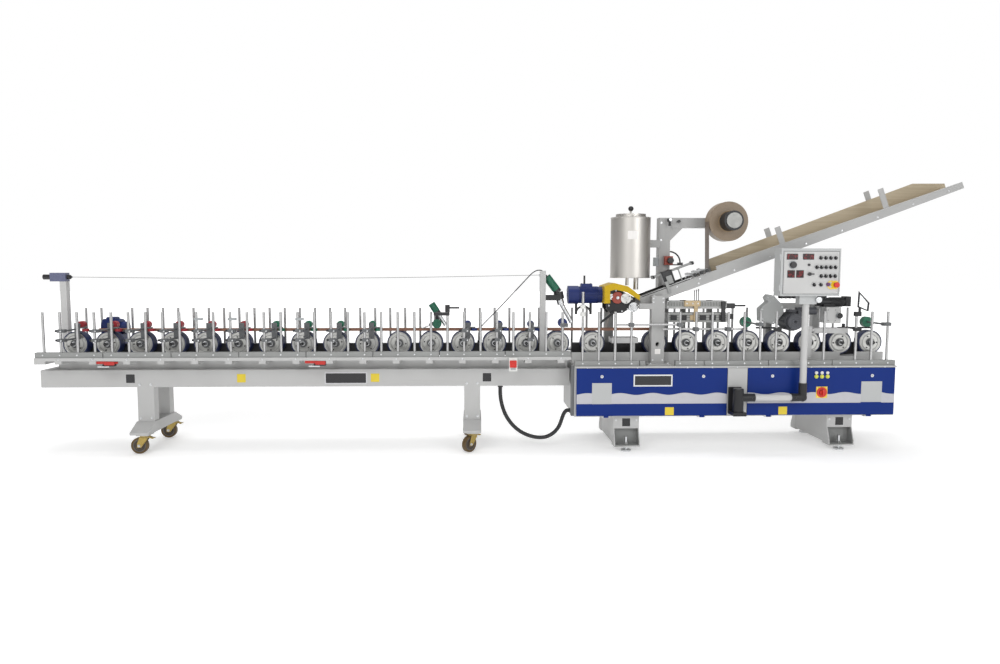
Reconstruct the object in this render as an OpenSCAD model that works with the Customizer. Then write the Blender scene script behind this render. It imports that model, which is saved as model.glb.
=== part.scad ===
// Profile wrapping machine: an outfeed bench on casters, an infeed base with the
// wrapping station, and a row of driven wheels that carries the profile through both.
// X runs along the machine, Y from the operator's side to the back, Z up from the floor.

/* [Benches] */
// Distance between neighbouring drive wheels
wheel_pitch = 250; // [244:2:262]
// Distance between the front and the rear row of rods
row_spacing = 620; // [600:5:660]
// Gap between the outfeed bench and the infeed base
bench_gap = 30; // [24:2:50]
// Height of the deck that the drive line stands on
deck_z = 716; // [706:2:726]
// Diameter of the upright rods
rod_d = 20; // [16:1:24]
// Height of the rod tops above the floor
rod_top_z = 1080; // [1040:5:1120]
// Depth of a clamp bar, front to back
bar_w = 40; // [36:1:48]
// Height of a clamp bar
bar_h = 40; // [32:1:44]
// Gap between the ends of neighbouring clamp bars
bar_joint = 6; // [3:1:12]
// Width of the rail under a row of clamp bars
rail_w = 56; // [50:1:64]
// Thickness of the rails and of the cross members
rail_h = 24; // [18:1:28]
// Width of a cross member
cross_w = 50; // [40:2:60]

/* [Outfeed bench] */
// Height of the main beam's underside
beam_z = 495; // [480:5:510]
// Height of the main beam
beam_h = 133; // [120:1:140]
// Depth of the main beam
beam_w = 370; // [340:5:390]
// Wall of the main beam and of the riser on it
beam_wall = 5; // [3:1:8]
// Length of beam that stands out at the free end
beam_overhang = 45; // [20:5:70]
// Depth of the riser between beam and cross members
riser_w = 240; // [200:5:300]
// Distance from the free end to the first pair of legs
leg_first_x = 738; // [650:2:800]
// Distance between the two pairs of legs
leg_spacing = 2510; // [2400:10:2600]
// Width of a leg along the machine
leg_w = 125; // [110:1:132]
// Depth of a leg
leg_depth = 80; // [70:1:95]
// Width of a foot beam
foot_beam_w = 140; // [136:1:150]
// Height of a foot beam
foot_beam_h = 80; // [70:1:90]
// Length of a foot beam, front to back
foot_beam_l = 650; // [640:5:680]

/* [Casters] */
// Diameter of a caster wheel
caster_d = 125; // [118:1:127]
// Width of a caster wheel
caster_w = 32; // [28:1:38]
// Height of a caster with its plate
caster_h = 150; // [149:1:156]
// Distance from swivel axis to wheel axis
caster_trail = 40; // [34:1:44]
// Diameter of the kingpin
kingpin_d = 16; // [12:1:20]
// Diameter of the caster's wheel bolt
caster_bolt_d = 10; // [8:1:12]
// Distance of the swivel axes from the centre line
caster_y = 270; // [250:2:274]

/* [Drive wheels] */
// Diameter of a drive wheel over its tread
wheel_d = 190; // [176:1:196]
// Width of a drive wheel
wheel_w = 80; // [70:1:84]
// Distance of the wheel faces from the centre line
wheel_face = 90; // [86:1:94]
// Thickness of the rubber tread
tread_t = 6; // [4:1:10]
// Height of the wheel axes
axis_z = 822; // [816:1:828]
// Diameter of a wheel shaft
axle_d = 25; // [20:1:30]
// Length of shaft in front of a wheel face
axle_out = 50; // [35:1:54]
// Diameter of the dark ring round the shaft
hub_ring_d = 62; // [50:1:80]

/* [Drive line] */
// Depth of the cover over the line shaft
cover_w = 62; // [50:1:70]
// Height of the cover's top above the floor
cover_top_z = 812; // [804:1:816]
// Width of a bearing block
bearing_w = 90; // [70:1:110]
// Diameter of the line shaft
line_shaft_d = 30; // [24:1:36]

/* [Infeed base] */
// Height of the cabinet's top above the floor
base_top_z = 665; // [660:1:670]
// Height of the cabinet's underside above the floor
base_bottom_z = 275; // [270:1:280]
// Depth of the cabinet
base_w = 660; // [655:5:700]
// Sheet thickness of the cabinet
sheet = 4; // [3:0.5:6]
// Thickness of a door
door_t = 20; // [16:1:24]
// Height of the white strip above the doors
strip_h = 15; // [10:1:24]
// Width of the fixed panel between the doors
mid_panel_w = 160; // [150:2:170]
// Distance from the base's left end to the fixed panel
mid_panel_x = 1176; // [1170:1:1180]
// Diameter of the door hinge pins
hinge_pin_d = 8; // [6:1:10]
// Distance from the base's ends to the feet
foot_inset = 410; // [380:5:440]
// Width of a base foot
foot_w = 200; // [180:2:220]
// Diameter of a levelling pad
pad_d = 80; // [60:2:100]

/* [Wrapping station] */
// Slope of the infeed trough in degrees
trough_slope = 20.3; // [19.5:0.1:21]
// Length of the trough along its slope
trough_l = 2700; // [2500:20:2900]
// Width of the trough
trough_w = 216; // [210:2:230]
// Height of the trough's back wall
trough_back_h = 150; // [130:2:170]
// Diameter of the glue tank
tank_d = 310; // [290:2:330]
// Height of the glue tank
tank_h = 473; // [420:5:520]
// Diameter of the tank's mouth
mouth_d = 220; // [200:2:240]
// Outer diameter of the foil roll
roll_d = 310; // [250:5:320]
// Width of the foil roll
roll_w = 110; // [90:2:130]
// Inner diameter of the roll's core
core_d = 152; // [140:2:160]
// Diameter of the mandrel's shaft
spindle_d = 40; // [30:1:50]
// Width of the foil
foil_w = 100; // [80:2:108]

/* [Control arm] */
// Distance from the arm's pivot to the upright tube
arm_reach = 495; // [450:5:540]
// Height of the arm's level tube
arm_z = 435; // [425:1:450]
// Diameter of the arm's tubes
arm_tube_d = 50; // [44:1:56]
// Distance of the arm from the centre line
arm_y = 430; // [428:1:450]
// Width of the control box
panel_w = 450; // [430:5:460]
// Height of the control box
panel_h = 353; // [340:1:370]
// Depth of the control box
panel_d = 120; // [110:2:130]
// Height of the control box's underside
panel_z = 1207; // [1200:1:1215]

/* [Workpiece] */
// Height of the sample profile
profile_h = 23; // [18:1:26]
// Width of the sample profile
profile_w = 46; // [30:1:60]

/* [Hidden] */
$fn = 32;
// Clearances: a running fit's play on the diameter, and the gap between seated pieces
fit = 0.1;
seat = 0.3;

// Layout along the machine
outfeed_wheels = 16;
infeed_slots = 10;
missing_slot = 1;
outfeed_l = outfeed_wheels * wheel_pitch;
base_x = outfeed_l + bench_gap;
base_l = infeed_slots * wheel_pitch;
first_wheel = 0.7 * wheel_pitch;
rod_pitch = wheel_pitch / 2;
first_rod = rod_pitch / 2;
row_y = row_spacing / 2;
bar_z = deck_z + rail_h;
feed_y = wheel_w / 2 - wheel_face;
top_z = axis_z + wheel_d / 2;
wheel_x = concat(
    [for (k = [0:outfeed_wheels - 1]) first_wheel + k * wheel_pitch],
    [for (k = [0:infeed_slots - 1]) if (k != missing_slot) base_x + first_wheel + k * wheel_pitch]);
beam_end = 10;
caster_z = caster_h;
caster_plate_t = 6;
caster_off = [22, 22, 5, 5];
caster_x = [for (i = [0:3]) leg_first_x + caster_off[i] + (i > 1 ? leg_spacing : 0)];
caster_side = [-1, 1, -1, 1];
caster_turn = [0, 0, 45, 45];

// Layout of the wrapping station, measured from the base's left end
column_x = base_x + 660;
column_w = 100;
column_depth = 80;
trough_y = [feed_y - trough_w / 2, feed_y + trough_w / 2];
column_y = [trough_y[0] - seat - column_depth, trough_y[0] - seat];
post_w = 90;
post_x = base_x + 782;
post_y = [84, 84 + post_w];
profile_top = top_z + seat + profile_h;
post_top = 1820;
reel_x = base_x + 1239;
reel_z = 1781;
tank_x = base_x + 473;
tank_z = 1337;
trough_x = base_x + 553;
trough_z = 1107;
table_l = 650;
table_h = 75;
pivot_x = base_x + 1235;
tube_x = pivot_x + arm_reach;
elbow_d = 66;
arm_pin_d = 30;
clamp_z = [panel_z - 62, panel_z - 2];
estop_x = tube_x + 186;
estop_z = panel_z + 84;
estop_reach = 37;
switch_x = base_x + 1916;
switch_z = 460;
door_bottom = base_bottom_z + 9;
door_top = base_top_z - strip_h;
door_y = -base_w / 2 - seat;
hinge_y = door_y - door_t / 2;
hinge_z = base_bottom_z;
pull_x = 55;
pull_y = 25;
pull_z = 1337;
pull_l = [158, 60];
gun_post_x = outfeed_l - 200;
gun_post_y = -142;

// The origin lies under the middle of the whole machine
x_low = pull_x - pull_l[0];
x_high = trough_x + trough_l * cos(trough_slope);
y_low = -arm_y - panel_d / 2 - estop_reach;
foot_reach = 345;
y_high = foot_reach;
mid_x = (x_low + x_high) / 2;
mid_y = (y_low + y_high) / 2;

// Routes of the free cords, in the layout's own millimetres
hose_d = 30;
hose_route = [[3470, -120, 475], [3470, -120, 430], [3476, -121, 370], [3492, -124, 305],
    [3520, -128, 240], [3562, -134, 180], [3618, -142, 130], [3685, -150, 95],
    [3760, -160, 78], [3830, -170, 84], [3890, -178, 118], [3930, -186, 170],
    [3950, -192, 225], [3968, -198, 276], [3990, -200, 300], [4010, -200, 300]];
gun_cord_d = 8;
gun_cord_route = [[3826, -100, 1358], [3815, -100, 1378], [3792, -99, 1394], [3760, -98, 1394],
    [3728, -96, 1378], [3700, -93, 1352], [3672, -90, 1322], [3600, -80, 1244],
    [3520, -68, 1158], [3440, -54, 1072], [3370, -36, 1000], [3325, -16, 950],
    [3305, 14, 910], [3300, 31, 870], [3300, 31, 832]];
wire_d = 3;

WHEELS = [for (k = [1:len(wheel_x)]) str("drive_wheel_", k < 10 ? "0" : "", k)];
FORKS = [for (k = [1:4]) str("caster_fork_", k)];
CASTERS = [for (k = [1:4]) str("caster_wheel_", k)];

// Helpers: solids given by their ranges along X, Y and Z
function span(middle, width) = [middle - width / 2, middle + width / 2];
function from(start, a, b) = [start + a, start + b];
module placed() translate([-mid_x, -mid_y, 0]) children();
module box(x, y, z) translate([x[0], y[0], z[0]]) cube([x[1] - x[0], y[1] - y[0], z[1] - z[0]]);
module rod_x(x, y, z, d) translate([x[0], y, z]) rotate([0, 90, 0]) cylinder(d = d, h = x[1] - x[0]);
module rod_y(x, y, z, d) translate([x, y[0], z]) rotate([-90, 0, 0]) cylinder(d = d, h = y[1] - y[0]);
module rod_z(x, y, z, d) translate([x, y, z[0]]) cylinder(d = d, h = z[1] - z[0]);
module plate_y(y, points) translate([0, y[1], 0]) rotate([90, 0, 0])
    linear_extrude(y[1] - y[0]) polygon(points);
module plate_x(x, points) translate([x[0], 0, 0]) rotate([90, 0, 90])
    linear_extrude(x[1] - x[0]) polygon(points);
module on_slope() translate([trough_x, 0, trough_z]) rotate([0, -trough_slope, 0]) children();

// A round tube along a route of points, smoothed between them
function smooth(p, n) = [for (i = [0:len(p) - 2]) for (j = [0:n - 1])
    let (t = j / n, a = p[max(i - 1, 0)], b = p[i], c = p[i + 1], d = p[min(i + 2, len(p) - 1)])
    0.5 * (2 * b + (c - a) * t + (2 * a - 5 * b + 4 * c - d) * t * t
        + (3 * b - a - 3 * c + d) * t * t * t)];
function unit(v) = v / norm(v);
function ring(p, i, r, sides, ends) = let (
    t = unit(i == 0 ? ends[0] : i == len(p) - 1 ? ends[1] : p[i + 1] - p[i - 1]),
    u = unit(cross([0, 1, 0], t)),
    v = cross(t, u))
    [for (k = [0:sides - 1]) p[i] + r * (cos(360 * k / sides) * u + sin(360 * k / sides) * v)];
module tube(route, n, d, sides) {
    last = len(route) - 1;
    p = concat(smooth(route, n), [route[last]]);
    ends = [route[1] - route[0], route[last] - route[last - 1]];
    rings = len(p);
    polyhedron(
        points = [for (i = [0:rings - 1]) each ring(p, i, d / 2, sides, ends)],
        faces = concat([[for (k = [0:sides - 1]) k]],
            [for (i = [0:rings - 2]) for (k = [0:sides - 1]) let (m = (k + 1) % sides)
                each [[i * sides + k, (i + 1) * sides + k, (i + 1) * sides + m],
                    [i * sides + k, (i + 1) * sides + m, i * sides + m]]],
            [[for (k = [sides - 1:-1:0]) (rings - 1) * sides + k]]));
}

// A row's places along X that carry a rod
function rod_x_at(i) = first_rod + i * rod_pitch;
outfeed_front = [for (i = [0:2 * outfeed_wheels - 1]) i];
outfeed_rear = [for (i = outfeed_front) if (i != 2 && i != 24 && i != 31) i];
infeed_rods = [0, 1, 2, 3, 6, 7, 8, 9, 10, 11, 12, 15, 17, 18, 19];

// Outfeed bench
module hollow_beam(x, w, z, wall) difference() {
    box(x, span(0, w), z);
    box([x[0] + wall, x[1] + 1], span(0, w - 2 * wall), [z[0] + wall, z[1] - wall]);
}
module foot_beam(x) plate_x(span(x, foot_beam_w), [
    [-foot_beam_l / 2, caster_z], [foot_beam_l / 2, caster_z], [foot_beam_l / 2, caster_z + 18],
    [beam_w / 2 + 12, caster_z + foot_beam_h], [-beam_w / 2 - 12, caster_z + foot_beam_h],
    [-foot_beam_l / 2, caster_z + 18]]);
module outfeed_frame() placed() {
    legs = [leg_first_x, leg_first_x + leg_spacing];
    color("gainsboro") difference() {
        union() {
            hollow_beam([-beam_overhang, outfeed_l + beam_end], beam_w, [beam_z, beam_z + beam_h], beam_wall);
            hollow_beam([60, outfeed_l - 10], riser_w, [beam_z + beam_h, deck_z - rail_h], beam_wall);
            for (x = [for (k = [0:outfeed_wheels - 1]) wheel_x[k]])
                box(span(x, cross_w), span(0, row_spacing + rail_w), [deck_z - rail_h, deck_z]);
            box([0, cross_w + 30], span(0, row_spacing + rail_w), [deck_z - rail_h, deck_z]);
            for (side = [-1, 1])
                box([0, outfeed_l], span(side * row_y, rail_w), [deck_z, deck_z + rail_h]);
            for (x = legs, side = [-1, 1])
                box(span(x, leg_w), span(side * (beam_w - leg_depth) / 2, leg_depth),
                    [caster_z + foot_beam_h, beam_z]);
            for (x = legs) foot_beam(x);
            for (i = [0:3]) translate([caster_x[i], caster_side[i] * caster_y, 0])
                box(span(0, 92), span(0, 104), [caster_z - caster_plate_t, caster_z]);
        }
        for (i = [0:3]) rod_z(caster_x[i], caster_side[i] * caster_y,
            [caster_z - caster_plate_t - 1, caster_z + 24], kingpin_d + fit);
    }
    // Start box under the front bars, and the gland of the supply hose
    color("whitesmoke") box([3527, 3590], [-row_y - rail_w / 2 - 34, -row_y - rail_w / 2 - seat],
        [deck_z - 82, deck_z + rail_h - 4]);
    color("black") rod_z(hose_route[0][0], hose_route[0][1], [hose_route[0][2], beam_z - seat], hose_d + 12);
    // Toggle clamps below the front rail
    color("firebrick") for (x = [430, 1990]) {
        box([x, x + 90], [-row_y - 20, -row_y + 10], [deck_z - 22, deck_z - seat]);
        rod_x([x + 90, x + 170], -row_y - 5, deck_z - 14, 18);
    }
}

// One caster: its fork turns on the kingpin, its wheel on the bolt
module at_caster(i) translate([caster_x[i], caster_side[i] * caster_y, 0])
    rotate([0, 0, caster_turn[i]]) children();
module caster_fork(i) placed() at_caster(i) color("goldenrod") {
    crown = caster_z - caster_plate_t - seat;
    inner = caster_w / 2 + 3;
    rod_z(0, 0, [crown - 9, crown], 74);
    rod_z(0, 0, [crown - 1, caster_z + 20], kingpin_d);
    for (side = [-1, 1]) plate_y(side > 0 ? [inner, inner + 4] : [-inner - 4, -inner], [
        [-30, crown - 4], [30, crown - 4], [24, crown - 30], [-caster_trail + 15, caster_d / 2 - 14],
        [-caster_trail - 15, caster_d / 2 - 14], [-caster_trail - 13, caster_d / 2 + 18]]);
    rod_y(-caster_trail, [-inner - 9, inner + 9], caster_d / 2, caster_bolt_d);
    plate_y([-inner + 2, inner - 2], [[26, crown - 8], [26, crown - 18], [60, crown - 30],
        [74, crown - 24], [72, crown - 20], [60, crown - 22]]);
    box([20, 28], [-inner - 3, inner + 3], [crown - 20, crown - 5]);
}
module caster_wheel(i) placed() at_caster(i) {
    tyre_in = caster_d - 30;
    color("saddlebrown") difference() {
        rod_y(-caster_trail, span(0, caster_w), caster_d / 2, caster_d);
        rod_y(-caster_trail, span(0, caster_w + 2), caster_d / 2, tyre_in);
    }
    color("dimgray") difference() {
        rod_y(-caster_trail, span(0, caster_w - 4), caster_d / 2, tyre_in - 2 * seat);
        rod_y(-caster_trail, span(0, caster_w + 2), caster_d / 2, caster_bolt_d + fit);
    }
}

// Clamp bars in two rows on both benches, drilled for the rods
module bars(x0, count, side, z) {
    len = 2 * wheel_pitch;
    edge = side * (row_y + bar_w / 2);
    color("darkgray") difference() {
        for (n = [0:count - 1])
            box([x0 + n * len + bar_joint / 2, x0 + (n + 1) * len - bar_joint / 2],
                span(side * row_y, bar_w), [z + seat, z + bar_h]);
        for (i = [0:4 * count - 1]) rod_z(x0 + rod_x_at(i), side * row_y, [z - 1, z + bar_h + 1], rod_d + fit);
        if (x0 > outfeed_l && side < 0)
            box(span(column_x, column_w + 136), [-row_y - bar_w, -row_y + bar_w], [z - 1, z + bar_h + 1]);
    }
    color("silver") for (i = [0:4 * count - 1])
        if (x0 < outfeed_l || side > 0 || abs(x0 + rod_x_at(i) - column_x) > column_w / 2 + 74)
            rod_y(x0 + rod_x_at(i), side > 0 ? [edge + seat, edge + 4] : [edge - 4, edge - seat],
                z + bar_h / 2, 12);
}
module clamp_bars() placed() {
    for (side = [-1, 1]) {
        bars(0, outfeed_wheels / 2, side, bar_z);
        bars(base_x, infeed_slots / 2, side, base_top_z);
    }
}

// Upright rods, and the two level rods that carry the preheater
level_rods = [[base_x + 313, base_x + 842, 980], [base_x + 682, base_x + 1330, 946]];
level_rod_y = -row_y + rod_d / 2 + 14;
module guide_rods() placed() color("silver") {
    for (i = outfeed_front) rod_z(rod_x_at(i), -row_y, [bar_z + seat, rod_top_z], rod_d);
    for (i = outfeed_rear) rod_z(rod_x_at(i), row_y, [bar_z + seat, rod_top_z], rod_d);
    for (i = infeed_rods) {
        rod_z(base_x + rod_x_at(i), -row_y, [base_top_z + seat, i == 0 ? 1230 : rod_top_z], rod_d);
        rod_z(base_x + rod_x_at(i), row_y, [base_top_z + seat, rod_top_z], rod_d);
    }
    for (r = level_rods) rod_x([r[0], r[1]], level_rod_y, r[2], 16);
    color("dimgray") for (c = [[3, 0], [6, 0], [7, 1], [9, 1]]) let (x = base_x + rod_x_at(c[0])) difference() {
        box(span(x, 34), [-row_y - 20, level_rod_y + 16], span(level_rods[c[1]][2], 30));
        rod_z(x, -row_y, [900, 1010], rod_d + 2 * seat);
        rod_x(span(x, 40), level_rod_y, level_rods[c[1]][2], 16 + 2 * seat);
    }
    // Collars on the two rods beside the gap
    color("white") for (c = [[base_x + 62.5, 1063], [base_x + 62.5, 1120]]) difference() {
        rod_z(c[0], -row_y, span(c[1], 30), rod_d + 22);
        rod_z(c[0], -row_y, span(c[1], 32), rod_d + 2 * seat);
    }
}

// Line shaft covers with the bearing blocks, the drive motor and the coupling between benches
module drive_line() placed() {
    runs = [[110, outfeed_l - 12], [base_x + 20, base_x + base_l - 20]];
    color("black") difference() {
        union() {
            for (run = runs) box(run, [0, cover_w], [deck_z + seat, cover_top_z]);
            for (x = wheel_x)
                box(span(x, bearing_w), [wheel_w - wheel_face + 6, cover_w + 4], [deck_z + seat, axis_z + 34]);
            rod_z(gun_cord_route[14][0], 31, [cover_top_z - 1, gun_cord_route[14][2]], 20);
        }
        for (x = wheel_x) rod_y(x, [wheel_w - wheel_face, cover_w + 10], axis_z, axle_d + fit);
    }
    color("silver") rod_x([runs[0][1] + seat, runs[1][0] - seat], cover_w / 2, deck_z + 46, line_shaft_d);
    color("navy") {
        box([310, 450], [80, 220], [deck_z + seat, 880]);
        rod_y(345, [cover_w + seat, 81], 770, 60);
        rod_x([290, 430], 150, 930, 140);
        rod_x([426, 470], 150, 930, 96);
        box([320, 390], [110, 190], [990, 1012]);
    }
}

// A driven wheel: hub disc, rubber tread, and the shaft with its dark hub ring and nut
module drive_wheel(k) placed() translate([wheel_x[k], 0, axis_z]) {
    face = -wheel_face;
    disc_r = wheel_d / 2 - tread_t - seat;
    ring_r = hub_ring_d / 2;
    bore_r = (axle_d + fit) / 2;
    color("lightgray") rotate([-90, 0, 0]) translate([0, 0, face]) rotate_extrude() polygon([
        [bore_r, 4], [ring_r + 3, 4], [ring_r + 5, 0], [disc_r - 20, 0], [disc_r - 17, 3],
        [disc_r - 8, 3], [disc_r - 3, 0], [disc_r, 3], [disc_r, wheel_w], [bore_r, wheel_w]]);
    color("midnightblue") difference() {
        rod_y(0, [face + 2, face + wheel_w], 0, wheel_d);
        rod_y(0, [face, face + wheel_w + 1], 0, wheel_d - 2 * tread_t);
    }
    color("dimgray") {
        rod_y(0, [face - axle_out, cover_w + 16], 0, axle_d);
        rod_y(0, [face - 3, face + 4 - seat], 0, hub_ring_d);
        rotate([90, 0, 0]) translate([0, 0, wheel_face + 3]) cylinder(d = axle_d + 16, h = 16, $fn = 6);
        rod_y(0, [cover_w + 4 + seat, cover_w + 12], 0, axle_d + 14);
    }
}

// Infeed base: cabinet, feet, bench riser and front fascia
foot_x = [base_x + foot_inset, base_x + base_l - foot_inset];
bay_x = [[base_x + 40, base_x + mid_panel_x - 26],
    [base_x + mid_panel_x + mid_panel_w + 26, base_x + base_l - 40]];
knuckle_w = 36;
knuckles = [[base_x + 244, base_x + 986], [base_x + 1506, base_x + 2293]];
module base_foot(x) {
    color("gainsboro") {
        box(span(x, foot_w - 4), [-250, 250], [52, base_bottom_z + 1]);
        for (side = [-1, 1]) difference() {
            union() {
                box(span(x, foot_w), side > 0 ? [240, foot_reach] : [-foot_reach, -240], [40, 52]);
                box(span(x, foot_w), side > 0 ? [240, 300] : [-300, -240], [175, base_bottom_z + 1]);
                for (end = [-1, 1])
                    plate_x(end > 0 ? [x + foot_w / 2 - 8, x + foot_w / 2] : [x - foot_w / 2, x - foot_w / 2 + 8],
                        [[side * 245, 50], [side * foot_reach, 50], [side * foot_reach, 76], [side * 300, 180], [side * 245, 180]]);
            }
            rod_z(x, side * 302, [39, 53], 24 + 2 * seat);
        }
    }
    color("silver") for (side = [-1, 1]) {
        rod_z(x, side * 302, [0, 12], pad_d);
        rod_z(x, side * 302, [11, 112], 24);
        for (z = [52 + seat, 40 - seat - 16])
            translate([x, side * 302, z]) cylinder(d = 42, h = 16, $fn = 6);
    }
}
module base_frame() placed() {
    x = [base_x, base_x + base_l];
    color("gainsboro") difference() {
        union() {
            box(x, span(0, base_w), [base_bottom_z, base_top_z]);
            box(x, [-base_w / 2 - door_t - 2, -base_w / 2 + 1], [door_top + 3, base_top_z]);
        }
        for (bay = bay_x) {
            box([bay[0], bay[1]], [-base_w / 2 - 1, base_w / 2 - sheet],
                [base_bottom_z + 36, door_top - 14]);
            box([bay[0] - 26, bay[1] + 26], [-base_w / 2 + sheet, base_w / 2 - sheet],
                [base_bottom_z + sheet, base_top_z - sheet]);
        }
    }
    // Fixed panel between the doors
    color("gainsboro") box(from(base_x + mid_panel_x, 4, mid_panel_w - 4),
        [-base_w / 2 - door_t, -base_w / 2 - seat], [base_bottom_z + 4, door_top]);
    // Bench riser and fascia
    color("gainsboro") difference() {
        union() {
            box([x[0] + 20, x[1] - 20], [-144, 75], [base_top_z - 1, deck_z]);
            box(x, [-150, -144], [base_top_z - 1, deck_z + 36]);
        }
        box([x[0] + 2150, x[0] + 2270], [-151, -143], [deck_z - 4, deck_z + 37]);
    }
    for (fx = foot_x) base_foot(fx);
    // Hinge lugs and pins of the doors
    color("silver") for (pair = knuckles, k = pair, side = [-1, 1]) {
        lug = span(k + side * (knuckle_w / 2 + 6), 8);
        rod_x(lug, hinge_y, hinge_z, 16);
        box(lug, [hinge_y, -base_w / 2 - seat], [hinge_z - 9, hinge_z + 8]);
        box(lug, [-base_w / 2 - 1, -base_w / 2 + 30], [hinge_z - 9, hinge_z - seat]);
        if (side > 0) rod_x(span(k, knuckle_w + 14), hinge_y, hinge_z, hinge_pin_d);
    }
    // Back plate with the drives and contactors, inside the cabinet
    color("lightgray") for (bay = bay_x) {
        box([bay[0] + 60, bay[1] - 60], [base_w / 2 - sheet - 20, base_w / 2 - sheet - 16], [330, 600]);
        for (n = [0:3]) box([bay[0] + 100 + n * 150, bay[0] + 210 + n * 150],
            [base_w / 2 - sheet - 130, base_w / 2 - sheet - 20], [400, 560]);
        for (px = [bay[0] + 70, bay[1] - 90]) box([px, px + 20],
            [base_w / 2 - sheet - 17, base_w / 2 - sheet + 1], [450, 470]);
    }
    // Cable channel and gland at the left end
    color("dimgray") box([x[0] - 22, x[0] - seat], [-320, -260], [base_bottom_z + 4, base_top_z - 2]);
    color("black") rod_x([hose_route[15][0], x[0] - seat], hose_route[15][1], hose_route[15][2], hose_d + 12);
    arm_bracket();
    // White tray in the empty wheel slot
    color("white") {
        box([x[0] + 318, x[0] + 528], [-150, -5], [824, 866]);
        for (lx = [x[0] + 340, x[0] + 486]) box([lx, lx + 20], [-130, -110], [deck_z + seat, 825]);
    }
}

// Doors, hinged along their lower edges; trims lie just off the painted panel
function trim(depth) = [door_y - door_t - seat - depth, door_y - door_t - seat];
module door(x, pair) color("royalblue") difference() {
    union() {
        difference() {
            box(x, [door_y - door_t, door_y], [door_bottom, door_top]);
            box([x[0] + sheet, x[1] - sheet], [door_y - door_t + 3, door_y + 1], [door_bottom + sheet, door_top - sheet]);
        }
        for (k = pair) {
            rod_x(span(k, knuckle_w), hinge_y, hinge_z, 16);
            box(span(k, knuckle_w), span(hinge_y, 10), [hinge_z, door_bottom + 1]);
        }
    }
    for (k = pair) rod_x(span(k, knuckle_w + 2), hinge_y, hinge_z, hinge_pin_d + fit);
}
function wave(x) = 453 + 8 * cos(360 * (x - base_x - 99) / 250);
module wave_band(x) let (n = ceil((x[1] - x[0]) / 25), step = (x[1] - x[0]) / n)
    color("whitesmoke") plate_y(trim(0.8), concat([[x[1], 377], [x[0], 377]],
        [for (i = [0:n]) [x[0] + i * step, wave(x[0] + i * step)]]));
module latch(x) color("silver") rod_y(x, trim(3), 588, 24);
door_left_x = [base_x + 15, base_x + mid_panel_x];
door_right_x = [base_x + mid_panel_x + mid_panel_w, base_x + base_l - 10];
module door_left() placed() {
    door(door_left_x, knuckles[0]);
    wave_band([door_left_x[0], base_x + 133 - seat]);
    wave_band([base_x + 284 + seat, door_left_x[1]]);
    color("lightgray") box(from(base_x, 133, 284), trim(1.5), [376, 538]);
    for (x = [base_x + 208, base_x + 991]) latch(x);
    color("silver") difference() {
        box(from(base_x, 451, 751), trim(2), [511, 602]);
        box(from(base_x, 461, 741), trim(3), [521, 592]);
    }
    color("gainsboro") box(from(base_x, 461 + seat, 741 - seat), trim(1), [521 + seat, 592 - seat]);
}
module door_right() placed() {
    door(door_right_x, knuckles[1]);
    wave_band([door_right_x[0], base_x + 2226 - seat]);
    wave_band([base_x + 2389 + seat, door_right_x[1]]);
    color("lightgray") box(from(base_x, 2226, 2389), trim(1.5), [382, 543]);
    for (x = [base_x + 1527, base_x + 2309]) latch(x);
    // Indicator lamps and the plate of the main switch
    for (x = [base_x + 1869, base_x + 1913, base_x + 1957]) {
        color("black") rod_y(x, trim(4), 583, 30);
        color("khaki") rod_y(x, [door_y - door_t - 12, door_y - door_t - 4 - 2 * seat], 583, 22);
    }
    color("gold") difference() {
        box(span(switch_x, 88), trim(2), span(switch_z, 88));
        rod_y(switch_x, trim(3), switch_z, 44);
    }
    color("dimgray") difference() {
        rod_y(switch_x, trim(8), switch_z, 44 - 2 * seat);
        rod_y(switch_x, trim(9), switch_z, 14 + fit);
    }
}
module main_switch() placed() color("red") {
    rod_y(switch_x, [door_y - door_t - 16, door_y - door_t - 1], switch_z, 14);
    rod_y(switch_x, [door_y - door_t - 20, door_y - door_t - 9 - seat], switch_z, 40);
    box(span(switch_x, 12), [door_y - door_t - 34, door_y - door_t - 19], span(switch_z, 42));
}

// Control arm: it turns on the pin of the base bracket and carries the box on its upright tube
sleeve_d = arm_tube_d + 2 * seat + 10;
module arm_bracket() color("black") {
    box(span(pivot_x, 100), [-arm_y - 50, door_y - door_t - seat], [300, 326]);
    box(span(pivot_x, 100), [door_y - door_t - 10, door_y - door_t - seat], [300, 505]);
    rod_z(pivot_x, -arm_y, [325, 470], arm_pin_d);
}
module panel_arm() placed() {
    color("black") difference() {
        union() {
            rod_z(pivot_x, -arm_y, [326 + seat, 500], elbow_d + 14);
            rod_x([pivot_x, pivot_x + 125], -arm_y, arm_z, sleeve_d);
            rod_x([tube_x - 90, tube_x], -arm_y, arm_z, sleeve_d);
            translate([tube_x, -arm_y, arm_z]) sphere(d = elbow_d);
            rod_z(tube_x, -arm_y, [arm_z, arm_z + 110], sleeve_d);
        }
        rod_z(pivot_x, -arm_y, [320, 474], arm_pin_d + fit);
        rod_x([pivot_x + 80, pivot_x + 130], -arm_y, arm_z, arm_tube_d + 2 * seat);
        rod_x([tube_x - 95, tube_x - 50], -arm_y, arm_z, arm_tube_d + 2 * seat);
        rod_z(tube_x, -arm_y, [arm_z + 66, arm_z + 115], arm_tube_d + 2 * seat);
    }
    color("white") {
        rod_x([pivot_x + 80 + seat, tube_x - 50 - seat], -arm_y, arm_z, arm_tube_d);
        rod_z(tube_x, -arm_y, [arm_z + 66 + seat, clamp_z[1] - 10], arm_tube_d);
    }
}
panel_x = tube_x - 225;
panel_y = [-arm_y - panel_d / 2, -arm_y + panel_d / 2];
module selector(x, z) color("black") {
    rod_y(panel_x + x, [panel_y[0] - 12, panel_y[0] - 3.6], panel_z + z, 28);
    box(span(panel_x + x, 7), [panel_y[0] - 24, panel_y[0] - 11], span(panel_z + z, 26));
}
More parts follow.
